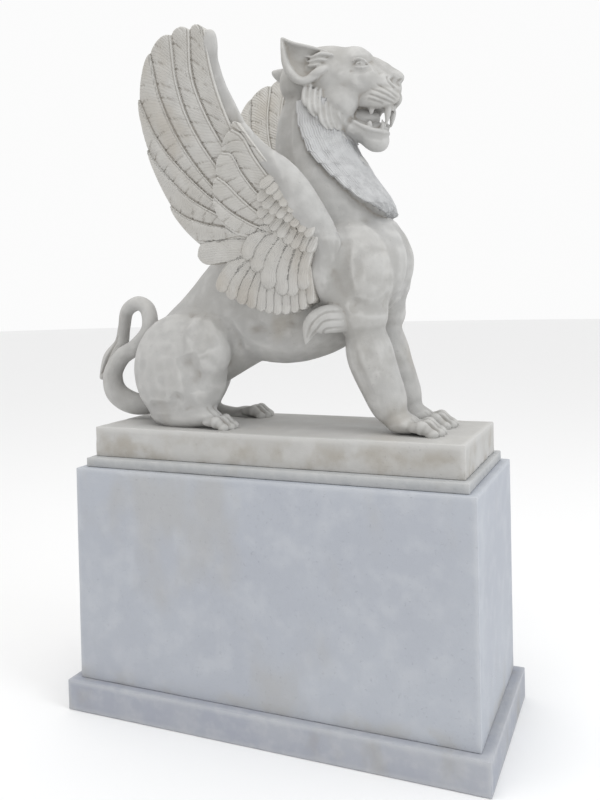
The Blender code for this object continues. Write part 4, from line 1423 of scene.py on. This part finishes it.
@dataclass
class Wing:
    """One raised wing: long primaries, a second row, two fans and coverts behind a smooth leading edge.

    Primary and second say how far the tips of a row stand proud and bulge, and each layer how far its
    tips stand proud and how thick it is behind. A fan's rows are a root, a bend, a tip and a half width.
    """

    side: Side
    foot: float = 0.45
    top: float = 1.4
    root_out: float = 0.215
    spread: float = 0.23
    sweep: float = 0.02
    drop: float = 0.012
    band_lap: float = 1.1
    band_thick: float = 0.036
    band_crown: float = 0.005
    band_tilt: float = 0.005
    tile_crown: float = 0.006
    covert_crown: float = 0.0036
    fan_lap: float = 0.003
    covert_step: float = 0.005
    feather_tilt: float = 0.004
    primary: tuple[float, float] = (0.003, 0.022)
    second: tuple[float, float] = (0.017, 0.016)
    back_layer: tuple[float, float] = (0.004, 0.05)
    front_layer: tuple[float, float] = (0.019, 0.07)
    covert_layer: tuple[float, float] = (0.023, 0.08)
    covert_reach: float = 0.062
    covert_half: float = 0.0175
    line_width: float = 0.0031
    line_depth: float = 0.003
    barb_pitch: float = 0.0125
    barb_slant: float = 1.1
    strand_pitch: float = 0.0085
    cut_pitch: float = 0.06
    cut_slant: float = 0.95
    cut_width: float = 0.0042
    cut_reach: float = 0.078
    cut_depth: float = 0.0034
    shaft_lines: tuple = (
        ((0.055, 0.85), (-0.022, 0.985), (-0.08, 1.13), (-0.11, 1.26), (-0.118, 1.385)),
        ((0.03, 0.83), (-0.08, 0.985), (-0.15, 1.12), (-0.186, 1.25), (-0.176, 1.392)),
        ((0.01, 0.8), (-0.11, 0.92), (-0.205, 1.075), (-0.246, 1.225), (-0.248, 1.385)),
        ((0.0, 0.78), (-0.133, 0.859), (-0.25, 1.015), (-0.318, 1.18), (-0.338, 1.335)),
        ((-0.01, 0.76), (-0.134, 0.818), (-0.26, 0.935), (-0.35, 1.055), (-0.402, 1.19)),
        ((-0.02, 0.74), (-0.132, 0.776), (-0.25, 0.845), (-0.34, 0.94), (-0.392, 1.015)),
        ((-0.02, 0.72), (-0.144, 0.739), (-0.215, 0.756), (-0.275, 0.78), (-0.326, 0.818)),
        ((-0.01, 0.69), (-0.078, 0.699), (-0.14, 0.69), (-0.19, 0.686), (-0.24, 0.69)))
    second_lines: tuple = (
        ((0.15, 0.82), (0.1, 0.9), (0.045, 0.975), (0.005, 1.035), (-0.025, 1.08)),
        ((0.14, 0.8), (0.085, 0.866), (0.023, 0.958), (-0.012, 1.03), (-0.048, 1.058)),
        ((0.1, 0.775), (0.024, 0.836), (-0.03, 0.909), (-0.06, 0.975), (-0.094, 0.985)),
        ((0.08, 0.735), (0.01, 0.78), (-0.045, 0.83), (-0.09, 0.88), (-0.122, 0.905)),
        ((0.06, 0.712), (-0.003, 0.735), (-0.07, 0.773), (-0.11, 0.805), (-0.142, 0.838)),
        ((0.06, 0.69), (0.0, 0.696), (-0.055, 0.705), (-0.095, 0.722), (-0.132, 0.755)))
    back_fan: tuple = (
        ((-0.04, 0.662), (-0.13, 0.664), (-0.244, 0.642), 0.041),
        ((-0.03, 0.65), (-0.15, 0.59), (-0.172, 0.508), 0.025),
        ((-0.01, 0.64), (-0.12, 0.57), (-0.132, 0.48), 0.024),
        ((0.01, 0.63), (-0.088, 0.55), (-0.092, 0.462), 0.023),
        ((0.03, 0.62), (-0.052, 0.54), (-0.054, 0.447), 0.022),
        ((0.045, 0.61), (-0.018, 0.53), (-0.018, 0.436), 0.021),
        ((0.06, 0.6), (0.012, 0.52), (0.013, 0.428), 0.02),
        ((0.08, 0.6), (0.042, 0.52), (0.044, 0.423), 0.02),
        ((0.1, 0.6), (0.075, 0.52), (0.076, 0.424), 0.02),
        ((0.12, 0.6), (0.108, 0.52), (0.108, 0.43), 0.02),
        ((0.145, 0.6), (0.14, 0.53), (0.139, 0.44), 0.019),
        ((0.17, 0.6), (0.172, 0.54), (0.168, 0.46), 0.018))
    front_fan: tuple = (
        ((0.078, 0.759), (-0.05, 0.69), (-0.043, 0.62), 0.024),
        ((0.103, 0.735), (-0.02, 0.655), (-0.012, 0.577), 0.026),
        ((0.128, 0.72), (0.002, 0.612), (0.034, 0.517), 0.03),
        ((0.156, 0.71), (0.055, 0.592), (0.08, 0.493), 0.026),
        ((0.18, 0.7), (0.092, 0.582), (0.116, 0.489), 0.024),
        ((0.206, 0.695), (0.135, 0.582), (0.158, 0.51), 0.024))
    covert_tips: tuple = (
        ((0.014, 0.765), (0.036, 0.742), (0.058, 0.719), (0.084, 0.692), (0.106, 0.669), (0.132, 0.653),
         (0.16, 0.642), (0.186, 0.637)),
        ((0.02, 0.82), (0.04, 0.794), (0.062, 0.773), (0.088, 0.758), (0.114, 0.743), (0.138, 0.726),
         (0.162, 0.706), (0.186, 0.688)),
        ((0.038, 0.862), (0.06, 0.84), (0.084, 0.82), (0.106, 0.796), (0.13, 0.774)))
    covert_focus: tuple[float, float] = (0.42, 1.16)
    arm: Spine = (
        (0.206, -0.052, 0.47, 0.052, 0.046), (0.212, -0.036, 0.56, 0.055, 0.054),
        (0.228, -0.044, 0.66, 0.054, 0.058),
        (0.172, -0.014, 0.8, 0.048, 0.06), (0.112, -0.012, 0.905, 0.042, 0.052),
        (0.03, -0.016, 0.99, 0.033, 0.038), (-0.045, -0.02, 1.11, 0.026, 0.026))
    leading: Spine = (
        (-0.014, -0.018, 1.05, 0.016, 0.03), (-0.066, -0.017, 1.135, 0.014, 0.032),
        (-0.1, -0.016, 1.215, 0.014, 0.03), (-0.114, -0.014, 1.293, 0.015, 0.028),
        (-0.11, -0.01, 1.35, 0.019, 0.034), (-0.108, -0.01, 1.392, 0.024, 0.04))
    root_lift: float = 0.35
    tile_fineness: tuple[int, int] = (48, 19)
    band_fineness: tuple[int, int] = (96, 25)
    comb_limit: float = 0.02
    least_facing: float = 0.35
    groove_place: float = 1.75
    groove_width: float = 0.95
    ridge_share: float = 0.25
    jitter_seed: int = 5
    barb_depth: float = 0.0008
    skins: list[Skin] = field(default_factory=list)
    combs: list[Comb] = field(default_factory=list)
    kinds: list[Plume] = field(default_factory=list)

    def on(self, x: Array, height: Array, proud: Array) -> Array:
        """Places on the wing, which spreads out and sweeps forward as it rises.

        Args:
            x: Places along the animal in the side view.
            height: Heights in the side view.
            proud: Distances out from the wing's plane.

        Returns:
            Places with a last axis for x, y and height.
        """
        rise = held((height - self.foot) / (self.top - self.foot))
        y = self.side.value * (self.root_out + self.spread * rise + proud)
        return np.stack([x + self.sweep * rise, y, height - self.drop * rise], axis=-1)

    def stations(self, stations: Sequence[Station]) -> list[Station]:
        """Stations drawn in the side view, x, proud, height and radii, set on the wing."""
        return [(*self.on(x, height, proud), wide, deep) for x, proud, height, wide, deep in stations]

    def broad(self) -> list[Skin]:
        """The arm that carries the wing."""
        return [Clay.sweep(self.stations(self.arm))]

    def crisp(self) -> list[Skin]:
        """The smooth leading edge."""
        return [Clay.sweep(self.stations(self.leading), along=40)]

    def _leaf(self, kind: Plume, place: Array, length: Array, across: Array, half: Array, proud: Array,
              thick: float) -> None:
        """Add one feather from its places in the wing's plane.

        Args:
            kind: How it is drawn.
            place: Places in the side view by row and column.
            length: Distance from the root at each row.
            across: Distance from the feather's middle by row and column.
            half: Half width at each row.
            proud: How far the front stands out, by row and column.
            thick: Thickness behind the wing's plane.
        """
        front = self.on(place[..., 0], place[..., 1], proud)
        back = self.on(place[..., 0], place[..., 1], -thick - proud * 0.6)
        self.skins.append(Clay.sheet(front, back))
        shape = across.shape
        values = np.stack([np.broadcast_to(length[:, None], shape), across,
                           np.broadcast_to(half[:, None], shape)], axis=2)
        for grid in (front, back):
            self.combs.append(Comb.over(grid, values, len(self.kinds)))
        self.kinds.append(kind)

    def tile(self, kind: Plume, root: Sequence[float], bend: Sequence[float], tip: Sequence[float],
             half_width: float, layer: Sequence[float], extra: float) -> None:
        """Add a curved round-tipped feather.

        Args:
            kind: How it is drawn.
            root: Its root in the side view.
            bend: The place that its course bends towards.
            tip: Its tip.
            half_width: Its half width.
            layer: How far its tip stands proud, and its thickness.
            extra: Added to how far it stands proud.
        """
        lift, thick = layer
        root, bend, tip = np.array(root), np.array(bend), np.array(tip)
        rows, columns = self.tile_fineness
        share = (1 - (1 - np.linspace(0, 1, rows)) ** 1.8)[:, None]
        t = np.linspace(-1, 1, columns)
        course = (1 - share) ** 2 * root + 2 * share * (1 - share) * bend + share ** 2 * tip
        run = 2 * (1 - share) * (bend - root) + 2 * share * (tip - bend)
        run /= np.linalg.norm(run, axis=1)[:, None]
        length = np.concatenate([[0], np.cumsum(np.linalg.norm(np.diff(course, axis=0), axis=1))])
        normal = np.stack([-run[:, 1], run[:, 0]], axis=1)
        round_off = held(1 - (length[-1] - length) / half_width)
        filled = 0.75 + 0.25 * held(length / length[-1] * 2)
        width = half_width * np.sqrt(1.02 - round_off ** 2) * filled
        across = width[:, None] * t[None, :]
        place = course[:, None, :] + across[..., None] * normal[:, None, :]
        crown = self.covert_crown if kind is Plume.COVERT else self.tile_crown
        rise = self.root_lift + (1 - self.root_lift) * share
        proud = ((lift + extra) * rise + crown * (1 - t ** 2 - 0.6 * round_off[:, None] ** 2)
                 + self.feather_tilt * t)
        self._leaf(kind, place, length, across, width, proud, thick)

    def band(self, upper: Sequence, lower: Sequence, lift: float, bulge: float) -> None:
        """Add a long feather that fills the band between two neighbouring shaft lines.

        Args:
            upper: The line ahead of it, from root to tip.
            lower: The line behind it.
            lift: How far its tip stands proud.
            bulge: How far its round tip passes the ends of the lines.
        """
        rows, columns = self.band_fineness
        share, t = np.linspace(0, 1, rows), np.linspace(-1, 1, columns)
        top, low = smooth_curve(upper, share), smooth_curve(lower, share)
        middle, half = (top + low) / 2, (top - low) / 2
        steps = np.linalg.norm(np.diff(middle, axis=0), axis=1)
        length = np.concatenate([[0], np.cumsum(steps)])
        run = np.gradient(middle, axis=0)[-1]
        run /= np.linalg.norm(run)
        place = middle[:, None, :] + self.band_lap * t[None, :, None] * half[:, None, :]
        place = place + (bulge * share[:, None] ** 3 * (1 - np.abs(t) ** 2.6))[..., None] * run
        width = np.linalg.norm(half, axis=1)
        rise = self.root_lift + (1 - self.root_lift) * share[:, None]
        proud = lift * rise + self.band_crown * (1 - t ** 2) + self.band_tilt * t
        across = self.band_lap * width[:, None] * t
        self._leaf(Plume.BAND, place, length, across, width, proud, self.band_thick)

    def feather(self) -> None:
        """Lay all feathers of the wing."""
        for lines, layer in ((self.shaft_lines, self.primary), (self.second_lines, self.second)):
            for upper, lower in zip(lines, lines[1:]):
                self.band(upper, lower, *layer)
        for fan, layer in ((self.back_fan, self.back_layer), (self.front_fan, self.front_layer)):
            for root, bend, tip, half_width in fan:
                self.tile(Plume.TILE, root, bend, tip, half_width, layer, 0.0)
        for row, tips in enumerate(self.covert_tips):
            for number, tip in enumerate(tips):
                away = np.array(self.covert_focus) - np.array(tip)
                away *= self.covert_reach / np.linalg.norm(away)
                self.tile(Plume.COVERT, tip + away, tip + away / 2, tip, self.covert_half, self.covert_layer,
                          self.covert_step * row + self.fan_lap * (number % 2))

    def carve(self, piece: bpy.types.Object) -> None:
        """Cut shafts, notches and barbs into the wing's mesh.

        Args:
            piece: The wing's object.
        """
        mesh = piece.data
        points, normals = mesh_points(mesh), mesh_normals(mesh)
        values, group, near = Comb.joined(self.combs).read(points, self.comb_limit)
        length, across, half = values.T
        band = np.array([kind is Plume.BAND for kind in self.kinds])[group]
        flat = held((np.abs(normals[:, 1]) - self.least_facing) / self.least_facing) * near
        core = np.where(band, np.abs(np.abs(across) - half), np.abs(across))
        width = self.line_width
        ridge = held(1 - (core / width) ** 2)
        groove = held(1 - ((core - self.groove_place * width) / (self.groove_width * width)) ** 2)
        from_low = np.clip(across + half, 0, None)
        number = (length + from_low * self.cut_slant) / self.cut_pitch + 0.37 * group
        jitter = even_noise(np.stack([np.floor(number), group, 0 * number], 1) * 1.7, 1.0, self.jitter_seed)
        place = (number % 1.0 - 0.5 + 0.25 * jitter) * self.cut_pitch
        cut = held(1 - (place / self.cut_width) ** 2)
        cut *= held((self.cut_reach * (1 + 0.3 * jitter) - from_low) / (0.5 * self.cut_reach))
        cut *= held((from_low - 0.004) / 0.003)
        amount = band * (self.line_depth * (self.ridge_share * ridge - groove) - self.cut_depth * cut)
        set_points(mesh, points + (flat * amount)[:, None] * normals)
        slant = length + from_low * self.barb_slant
        phase = np.where(band, slant / self.barb_pitch, (across + 0.08 * length) / self.strand_pitch)
        set_attribute(mesh, "comb", phase)
        calm = np.where(band, held((core - 1.2 * width) / width), 1.0)
        set_attribute(mesh, "comb_depth", flat * calm * self.barb_depth)

    def build(self, voxel: float, most: int) -> bpy.types.Object:
        """Make the wing's feathers as one piece.

        Args:
            voxel: Size in metres of the finest shape.
            most: Triangles that it may have.

        Returns:
            The finished object, in figure coordinates.
        """
        self.feather()
        piece = as_object(f"{self.side.name.lower()}_wing", Skin.joined(self.skins))
        run_together(piece, voxel, 1)
        thin_out(piece, most)
        self.carve(piece)
        return piece


@dataclass
class Course:
    """A block with worn edges: the slab that the figure sits on, or a course of the pedestal."""

    name: str
    length: float
    width: float
    bottom: float
    top: float
    seed: int
    cell: float = 0.02
    edge: float = 0.0035
    wear: float = 0.003
    wear_share: float = 0.6
    worn_band: float = 0.009
    skin: float = 0.01
    chip_size: float = 0.035
    chip_least: float = 0.35
    rub_size: float = 0.11

    def build(self) -> bpy.types.Object:
        """Make the block: a cube cut into cells, its edges rounded, rubbed and chipped.

        Returns:
            The object.
        """
        bpy.ops.object.select_all(action='DESELECT')
        size = (self.length, self.width, self.top - self.bottom)
        middle = np.array([0.0, 0.0, (self.top + self.bottom) / 2])
        bpy.ops.mesh.primitive_cube_add(size=1, location=list(middle), scale=size)
        piece = bpy.context.object
        piece.name = piece.data.name = self.name
        bpy.ops.object.transform_apply(location=True, rotation=False, scale=True)
        bpy.ops.object.mode_set(mode='EDIT')
        bpy.ops.mesh.select_all(action='SELECT')
        bpy.ops.mesh.bevel(offset=self.edge, segments=3)
        for span, normal in zip(size, np.eye(3)):
            for place in np.linspace(-span / 2, span / 2, max(2, int(span / self.cell)) + 1)[1:-1]:
                bpy.ops.mesh.select_all(action='SELECT')
                bpy.ops.mesh.bisect(plane_co=list(middle + place * normal), plane_no=list(normal))
        bpy.ops.object.mode_set(mode='OBJECT')
        self.weather(piece.data, middle, np.array(size) / 2)
        return piece

    def weather(self, mesh: bpy.types.Mesh, middle: Array, half: Array) -> None:
        """Rub and chip the edges, always inwards.

        Args:
            mesh: The block's mesh.
            middle: The block's middle.
            half: Its half sizes.
        """
        points = mesh_points(mesh)
        inside = half - np.abs(points - middle)
        near_edge = np.sort(inside, axis=1)[:, 1]
        chip = held(even_noise(points, self.chip_size, self.seed) - self.chip_least) * 1.5
        rub = 0.25 + 0.25 * even_noise(points, self.rub_size, self.seed + 1) + chip
        at_edge = held(1 - near_edge / self.worn_band)
        inwards = -np.sign(points - middle) * (inside < self.skin)
        points = points + inwards * (self.wear * rub * at_edge)[:, None] * self.wear_share
        points[:, 2] = np.clip(points[:, 2], self.bottom, self.top)
        set_points(mesh, points)


@dataclass
class Figure:
    """The lioness: all parts run together as carved from one block, with her slab."""

    slab: Course
    trunk: Trunk = field(default_factory=Trunk)
    legs: Legs = field(default_factory=Legs)
    tail: Tail = field(default_factory=Tail)
    head: Head = field(default_factory=Head)
    sink: float = 0.006
    margin: float = 0.9995
    broad_voxel: float = 0.0095
    broad_smoothing: int = 9
    body_voxel: float = 0.0036
    wing_voxel: float = 0.0026
    most_triangles: int = 188000
    tool_marks: float = 0.0006
    mark_size: float = 0.03
    quick_coarseness: float = 1.6
    crease: Hollows = (6, 0.0019)
    hollow: Hollows = (24, 0.006)
    strand_limit: float = 0.006
    strand_bump: float = 0.0012

    def __post_init__(self) -> None:
        """Make the parts that hang on others."""
        self.beard = Beard(self.trunk.neck, self.head.cheek)
        self.wings = [Wing(side) for side in Side]

    def body(self, coarse: float) -> bpy.types.Object:
        """Model and carve the body with all but its feathers.


        Returns:
            The object, in figure coordinates.
        """
        broad = as_object("broad", Skin.joined(
            skin for part in (self.trunk, self.legs, self.head, *self.wings) for skin in part.broad()))
        finish_with(broad, 'REMESH', mode='VOXEL', voxel_size=self.broad_voxel)
        finish_with(broad, 'SMOOTH', factor=0.5, iterations=self.broad_smoothing)
        finish_with(broad, 'SUBSURF', levels=1, render_levels=1)
        crisp = [skin for part in (self.legs, self.tail, self.head, self.beard, *self.wings)
                 for skin in part.crisp()]
        piece = as_object("lioness_body", Skin.joined([Skin.of(broad), *crisp]))
        bpy.data.objects.remove(broad, do_unlink=True)
        run_together(piece, self.body_voxel * coarse, 3)
        carving = Carving(mesh_points(piece.data), mesh_normals(piece.data))
        for stroke in (*self.trunk.hollows, *self.legs.strokes(), *self.tail.strokes(), *self.head.hollows):
            carving.cut(stroke)
        marks = self.tool_marks * even_noise(carving.points, self.mark_size, 3)
        set_points(piece.data, carving.points + marks[:, None] * carving.normals)
        thin_out(piece, self.most_triangles)
        return piece

    def stand(self, piece: bpy.types.Object) -> None:
        """Lift a piece from figure coordinates onto the slab.

        Args:
            piece: The piece, its place kept in its mesh.
        """
        low, high = (np.array(corner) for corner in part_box("lioness"))
        points = mesh_points(piece.data) + [0, 0, self.slab.top - self.sink]
        foot = np.array([0, 0, self.slab.top])
        excess = np.maximum((points.max(0) - foot) / (high - foot), self.margin)
        excess = np.maximum(excess, [points[:, 0].min() / low[0], points[:, 1].min() / low[1], 0])
        set_points(piece.data, foot + (points - foot) * self.margin / excess)

    def dress(self, piece: bpy.types.Object, material: bpy.types.Material) -> None:
        """Give a piece its stone, the marks of creases and hollows that its stone darkens with dirt and
        painted shade, and its ride.

        Args:
            piece: The piece.
            material: Its finish.
        """
        mesh = piece.data
        # Marks of creases and hollows, which the stone darkens with dirt and painted shade
        set_attribute(mesh, "crease", hollowness(mesh, *self.crease))
        set_attribute(mesh, "hollow", hollowness(mesh, *self.hollow))
        for name in ("comb", "comb_depth"):
            if name not in mesh.attributes:
                set_attribute(mesh, name, np.zeros(len(mesh.vertices)))
        mesh.materials.clear()
        mesh.materials.append(material)
        mesh.shade_smooth()
        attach(piece, "root")
        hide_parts("lioness")

    def build(self) -> list[bpy.types.Object]:
        """Make the body with its slab and both wings.

        Returns:
            The finished pieces.
        """
        coarse = 1.0
        # The feathers take the lighter painted copy of the carved stone
        material, feathers = CARVED_STONE.material(), PAINTED_LIGHTER_FEATHER_STONE.material()
        body = self.body(coarse)
        strand, _, near = self.beard.comb().read(mesh_points(body.data), self.strand_limit)
        set_attribute(body.data, "comb", strand[:, 0] * near)
        # comb_depth bumps the beard's strands, and in the carved stone it also masks the painted light on them
        set_attribute(body.data, "comb_depth", self.strand_bump * near)
        self.stand(body)
        slab = self.slab.build()
        finish_with(body, 'BOOLEAN', operation='UNION', object=slab, solver='MANIFOLD')
        bpy.data.objects.remove(slab, do_unlink=True)
        self.dress(body, material)
        pieces = [body]
        for wing in self.wings:
            piece = wing.build(self.wing_voxel * coarse, self.most_triangles)
            self.stand(piece)
            self.dress(piece, feathers)
            pieces.append(piece)
        return pieces


@dataclass
class Pedestal:
    """Step, die and base course under the slab."""

    slab_length: float = 1.4
    slab_width: float = 0.528
    slab_height: float = 0.112
    step_ledge_end: float = 0.018
    step_ledge_side: float = 0.038
    die_ledge: float = 0.0285
    base_ledge: float = 0.036
    base_height: float = 0.113
    die_height: float = 0.796
    step_height: float = 0.035
    joint_gap: float = 0.0003
    crease: Hollows = (2, 0.0012)
    smooth_below: float = math.radians(40)

    def slab(self) -> Course:
        """The slab that is carved in one with the figure."""
        bottom = self.base_height + self.die_height + self.step_height + self.joint_gap
        return Course("slab", self.slab_length, self.slab_width, bottom, bottom + self.slab_height, 11)

    def build(self) -> list[bpy.types.Object]:
        """Make the three courses and dress them.

        Returns:
            The finished pieces.
        """
        step = (self.slab_length + 2 * self.step_ledge_end, self.slab_width + 2 * self.step_ledge_side)
        die = tuple(side + 2 * self.die_ledge for side in step)
        base = tuple(side + 2 * self.base_ledge for side in die)
        die_top = self.base_height + self.die_height
        courses = (
            ("base_stone", base, 0.0, self.base_height, "base_course", "base_limestone", BASE_STONE, 21),
            ("die_stone", die, self.base_height + self.joint_gap, die_top,
             "die", "die_limestone", DIE_STONE, 31),
            ("step_stone", step, die_top + self.joint_gap, die_top + self.step_height,
             "cap_step", "step_limestone", STEP_STONE, 41))
        pieces = []
        for name, (length, width), bottom, top, node, slot, finish, seed in courses:
            piece = Course(name, length, width, bottom, top, seed).build()
            # The crease mark darkens the courses' creases with dirt and painted shade and pales their rubbed
            # edges
            set_attribute(piece.data, "crease", hollowness(piece.data, *self.crease))
            set_attribute(piece.data, "hollow", np.zeros(len(piece.data.vertices)))
            piece.data.materials.clear()
            piece.data.materials.append(finish.material())
            choose(piece)
            bpy.ops.object.shade_smooth_by_angle(angle=self.smooth_below)
            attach(piece, "root")
            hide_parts(node)
            pieces.append(piece)
        return pieces


@dataclass
class Studio:
    """Pale floor, soft light and the camera at the photograph's angle."""

    camera_place: Place = (1.258, -3.0425, 1.5528)
    yaw: float = 0.4278
    pitch: float = -0.0195
    roll: float = -0.0227
    focal_pixels: float = 878.2
    picture: tuple[int, int] = (600, 800)
    centre: tuple[float, float] = (257.6, 309.8)
    sensor: float = 36.0
    sky: float = 0.97
    lamps: tuple[tuple[str, Place, float, Colour], ...] = (
        ("open side", (6.0, -1.5, 4.5), 115.0, (0.9, 0.95, 1.0)),
        ("overhead", (-0.3, -1.4, 6.8), 90.0, (1.0, 0.98, 0.95)))
    lamp_size: float = 3.0
    lamp_aim: Place = (0.0, 0.0, 1.2)
    floor_radius: float = 40.0
    floor_height: float = -0.0005
    floor_tone: Colour = (0.88, 0.88, 0.88)
    floor_roughness: float = 0.95

    def camera(self) -> None:
        """Place the camera where the photograph was taken."""
        data = bpy.data.cameras.new("camera")
        eye = bpy.data.objects.new("camera", data)
        bpy.context.scene.collection.objects.link(eye)
        wide, high = self.picture
        data.sensor_width = self.sensor
        data.lens = self.focal_pixels / high * self.sensor
        data.shift_x = (wide / 2 - self.centre[0]) / high
        data.shift_y = (self.centre[1] - high / 2) / high
        level = math.cos(self.pitch)
        ahead = Vector((-math.sin(self.yaw) * level, math.cos(self.yaw) * level, math.sin(self.pitch)))
        right = Vector((math.cos(self.yaw), math.sin(self.yaw), 0))
        up = right.cross(ahead)
        tilted = right * math.cos(self.roll) + up * math.sin(self.roll)
        above = up * math.cos(self.roll) - right * math.sin(self.roll)
        turn = Matrix((tilted, above, -ahead)).transposed().to_4x4()
        eye.matrix_world = Matrix.Translation(self.camera_place) @ turn
        bpy.context.scene.camera = eye

    def light(self) -> None:
        """An even pale sky and two soft square lights."""
        world = bpy.data.worlds.new("pale sky")
        bpy.context.scene.world = world
        world.use_nodes = True
        sky = world.node_tree.nodes["Background"]
        sky.inputs["Color"].default_value = (1.0, 1.0, 1.0, 1.0)
        sky.inputs["Strength"].default_value = self.sky
        for name, place, power, colour in self.lamps:
            data = bpy.data.lights.new(name, 'AREA')
            data.size, data.energy, data.color = self.lamp_size, power, colour
            lamp = bpy.data.objects.new(name, data)
            bpy.context.scene.collection.objects.link(lamp)
            lamp.location = place
            lamp.rotation_euler = (Vector(self.lamp_aim) - Vector(place)).to_track_quat('-Z', 'Y').to_euler()

    def floor(self) -> None:
        """A plain pale floor, wide enough to reach the horizon."""
        bpy.ops.object.select_all(action='DESELECT')
        bpy.ops.mesh.primitive_circle_add(vertices=64, radius=self.floor_radius, fill_type='NGON',
                                          location=(0, 0, self.floor_height))
        ground = bpy.context.object
        ground.name = "floor"
        finish = bpy.data.materials.new("pale floor")
        finish.use_nodes = True
        shader = finish.node_tree.nodes["Principled BSDF"]
        shader.inputs["Base Color"].default_value = (*self.floor_tone, 1.0)
        shader.inputs["Roughness"].default_value = self.floor_roughness
        ground.data.materials.append(finish)

    def build(self) -> None:
        """Set everything up."""
        bpy.context.scene.view_settings.view_transform = 'Standard'
        self.camera()
        self.light()
        self.floor()


def main() -> None:
    """Build the studio, the pedestal and the figure, and log the triangles of each piece."""
    logging.basicConfig(level=logging.INFO, format="%(message)s")
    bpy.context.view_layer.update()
    Studio().build()
    pedestal = Pedestal()
    for piece in pedestal.build() + Figure(pedestal.slab()).build():
        piece.data.calc_loop_triangles()
        log.info("%s: %d triangles", piece.name, len(piece.data.loop_triangles))


if __name__ == "__main__":
    main()
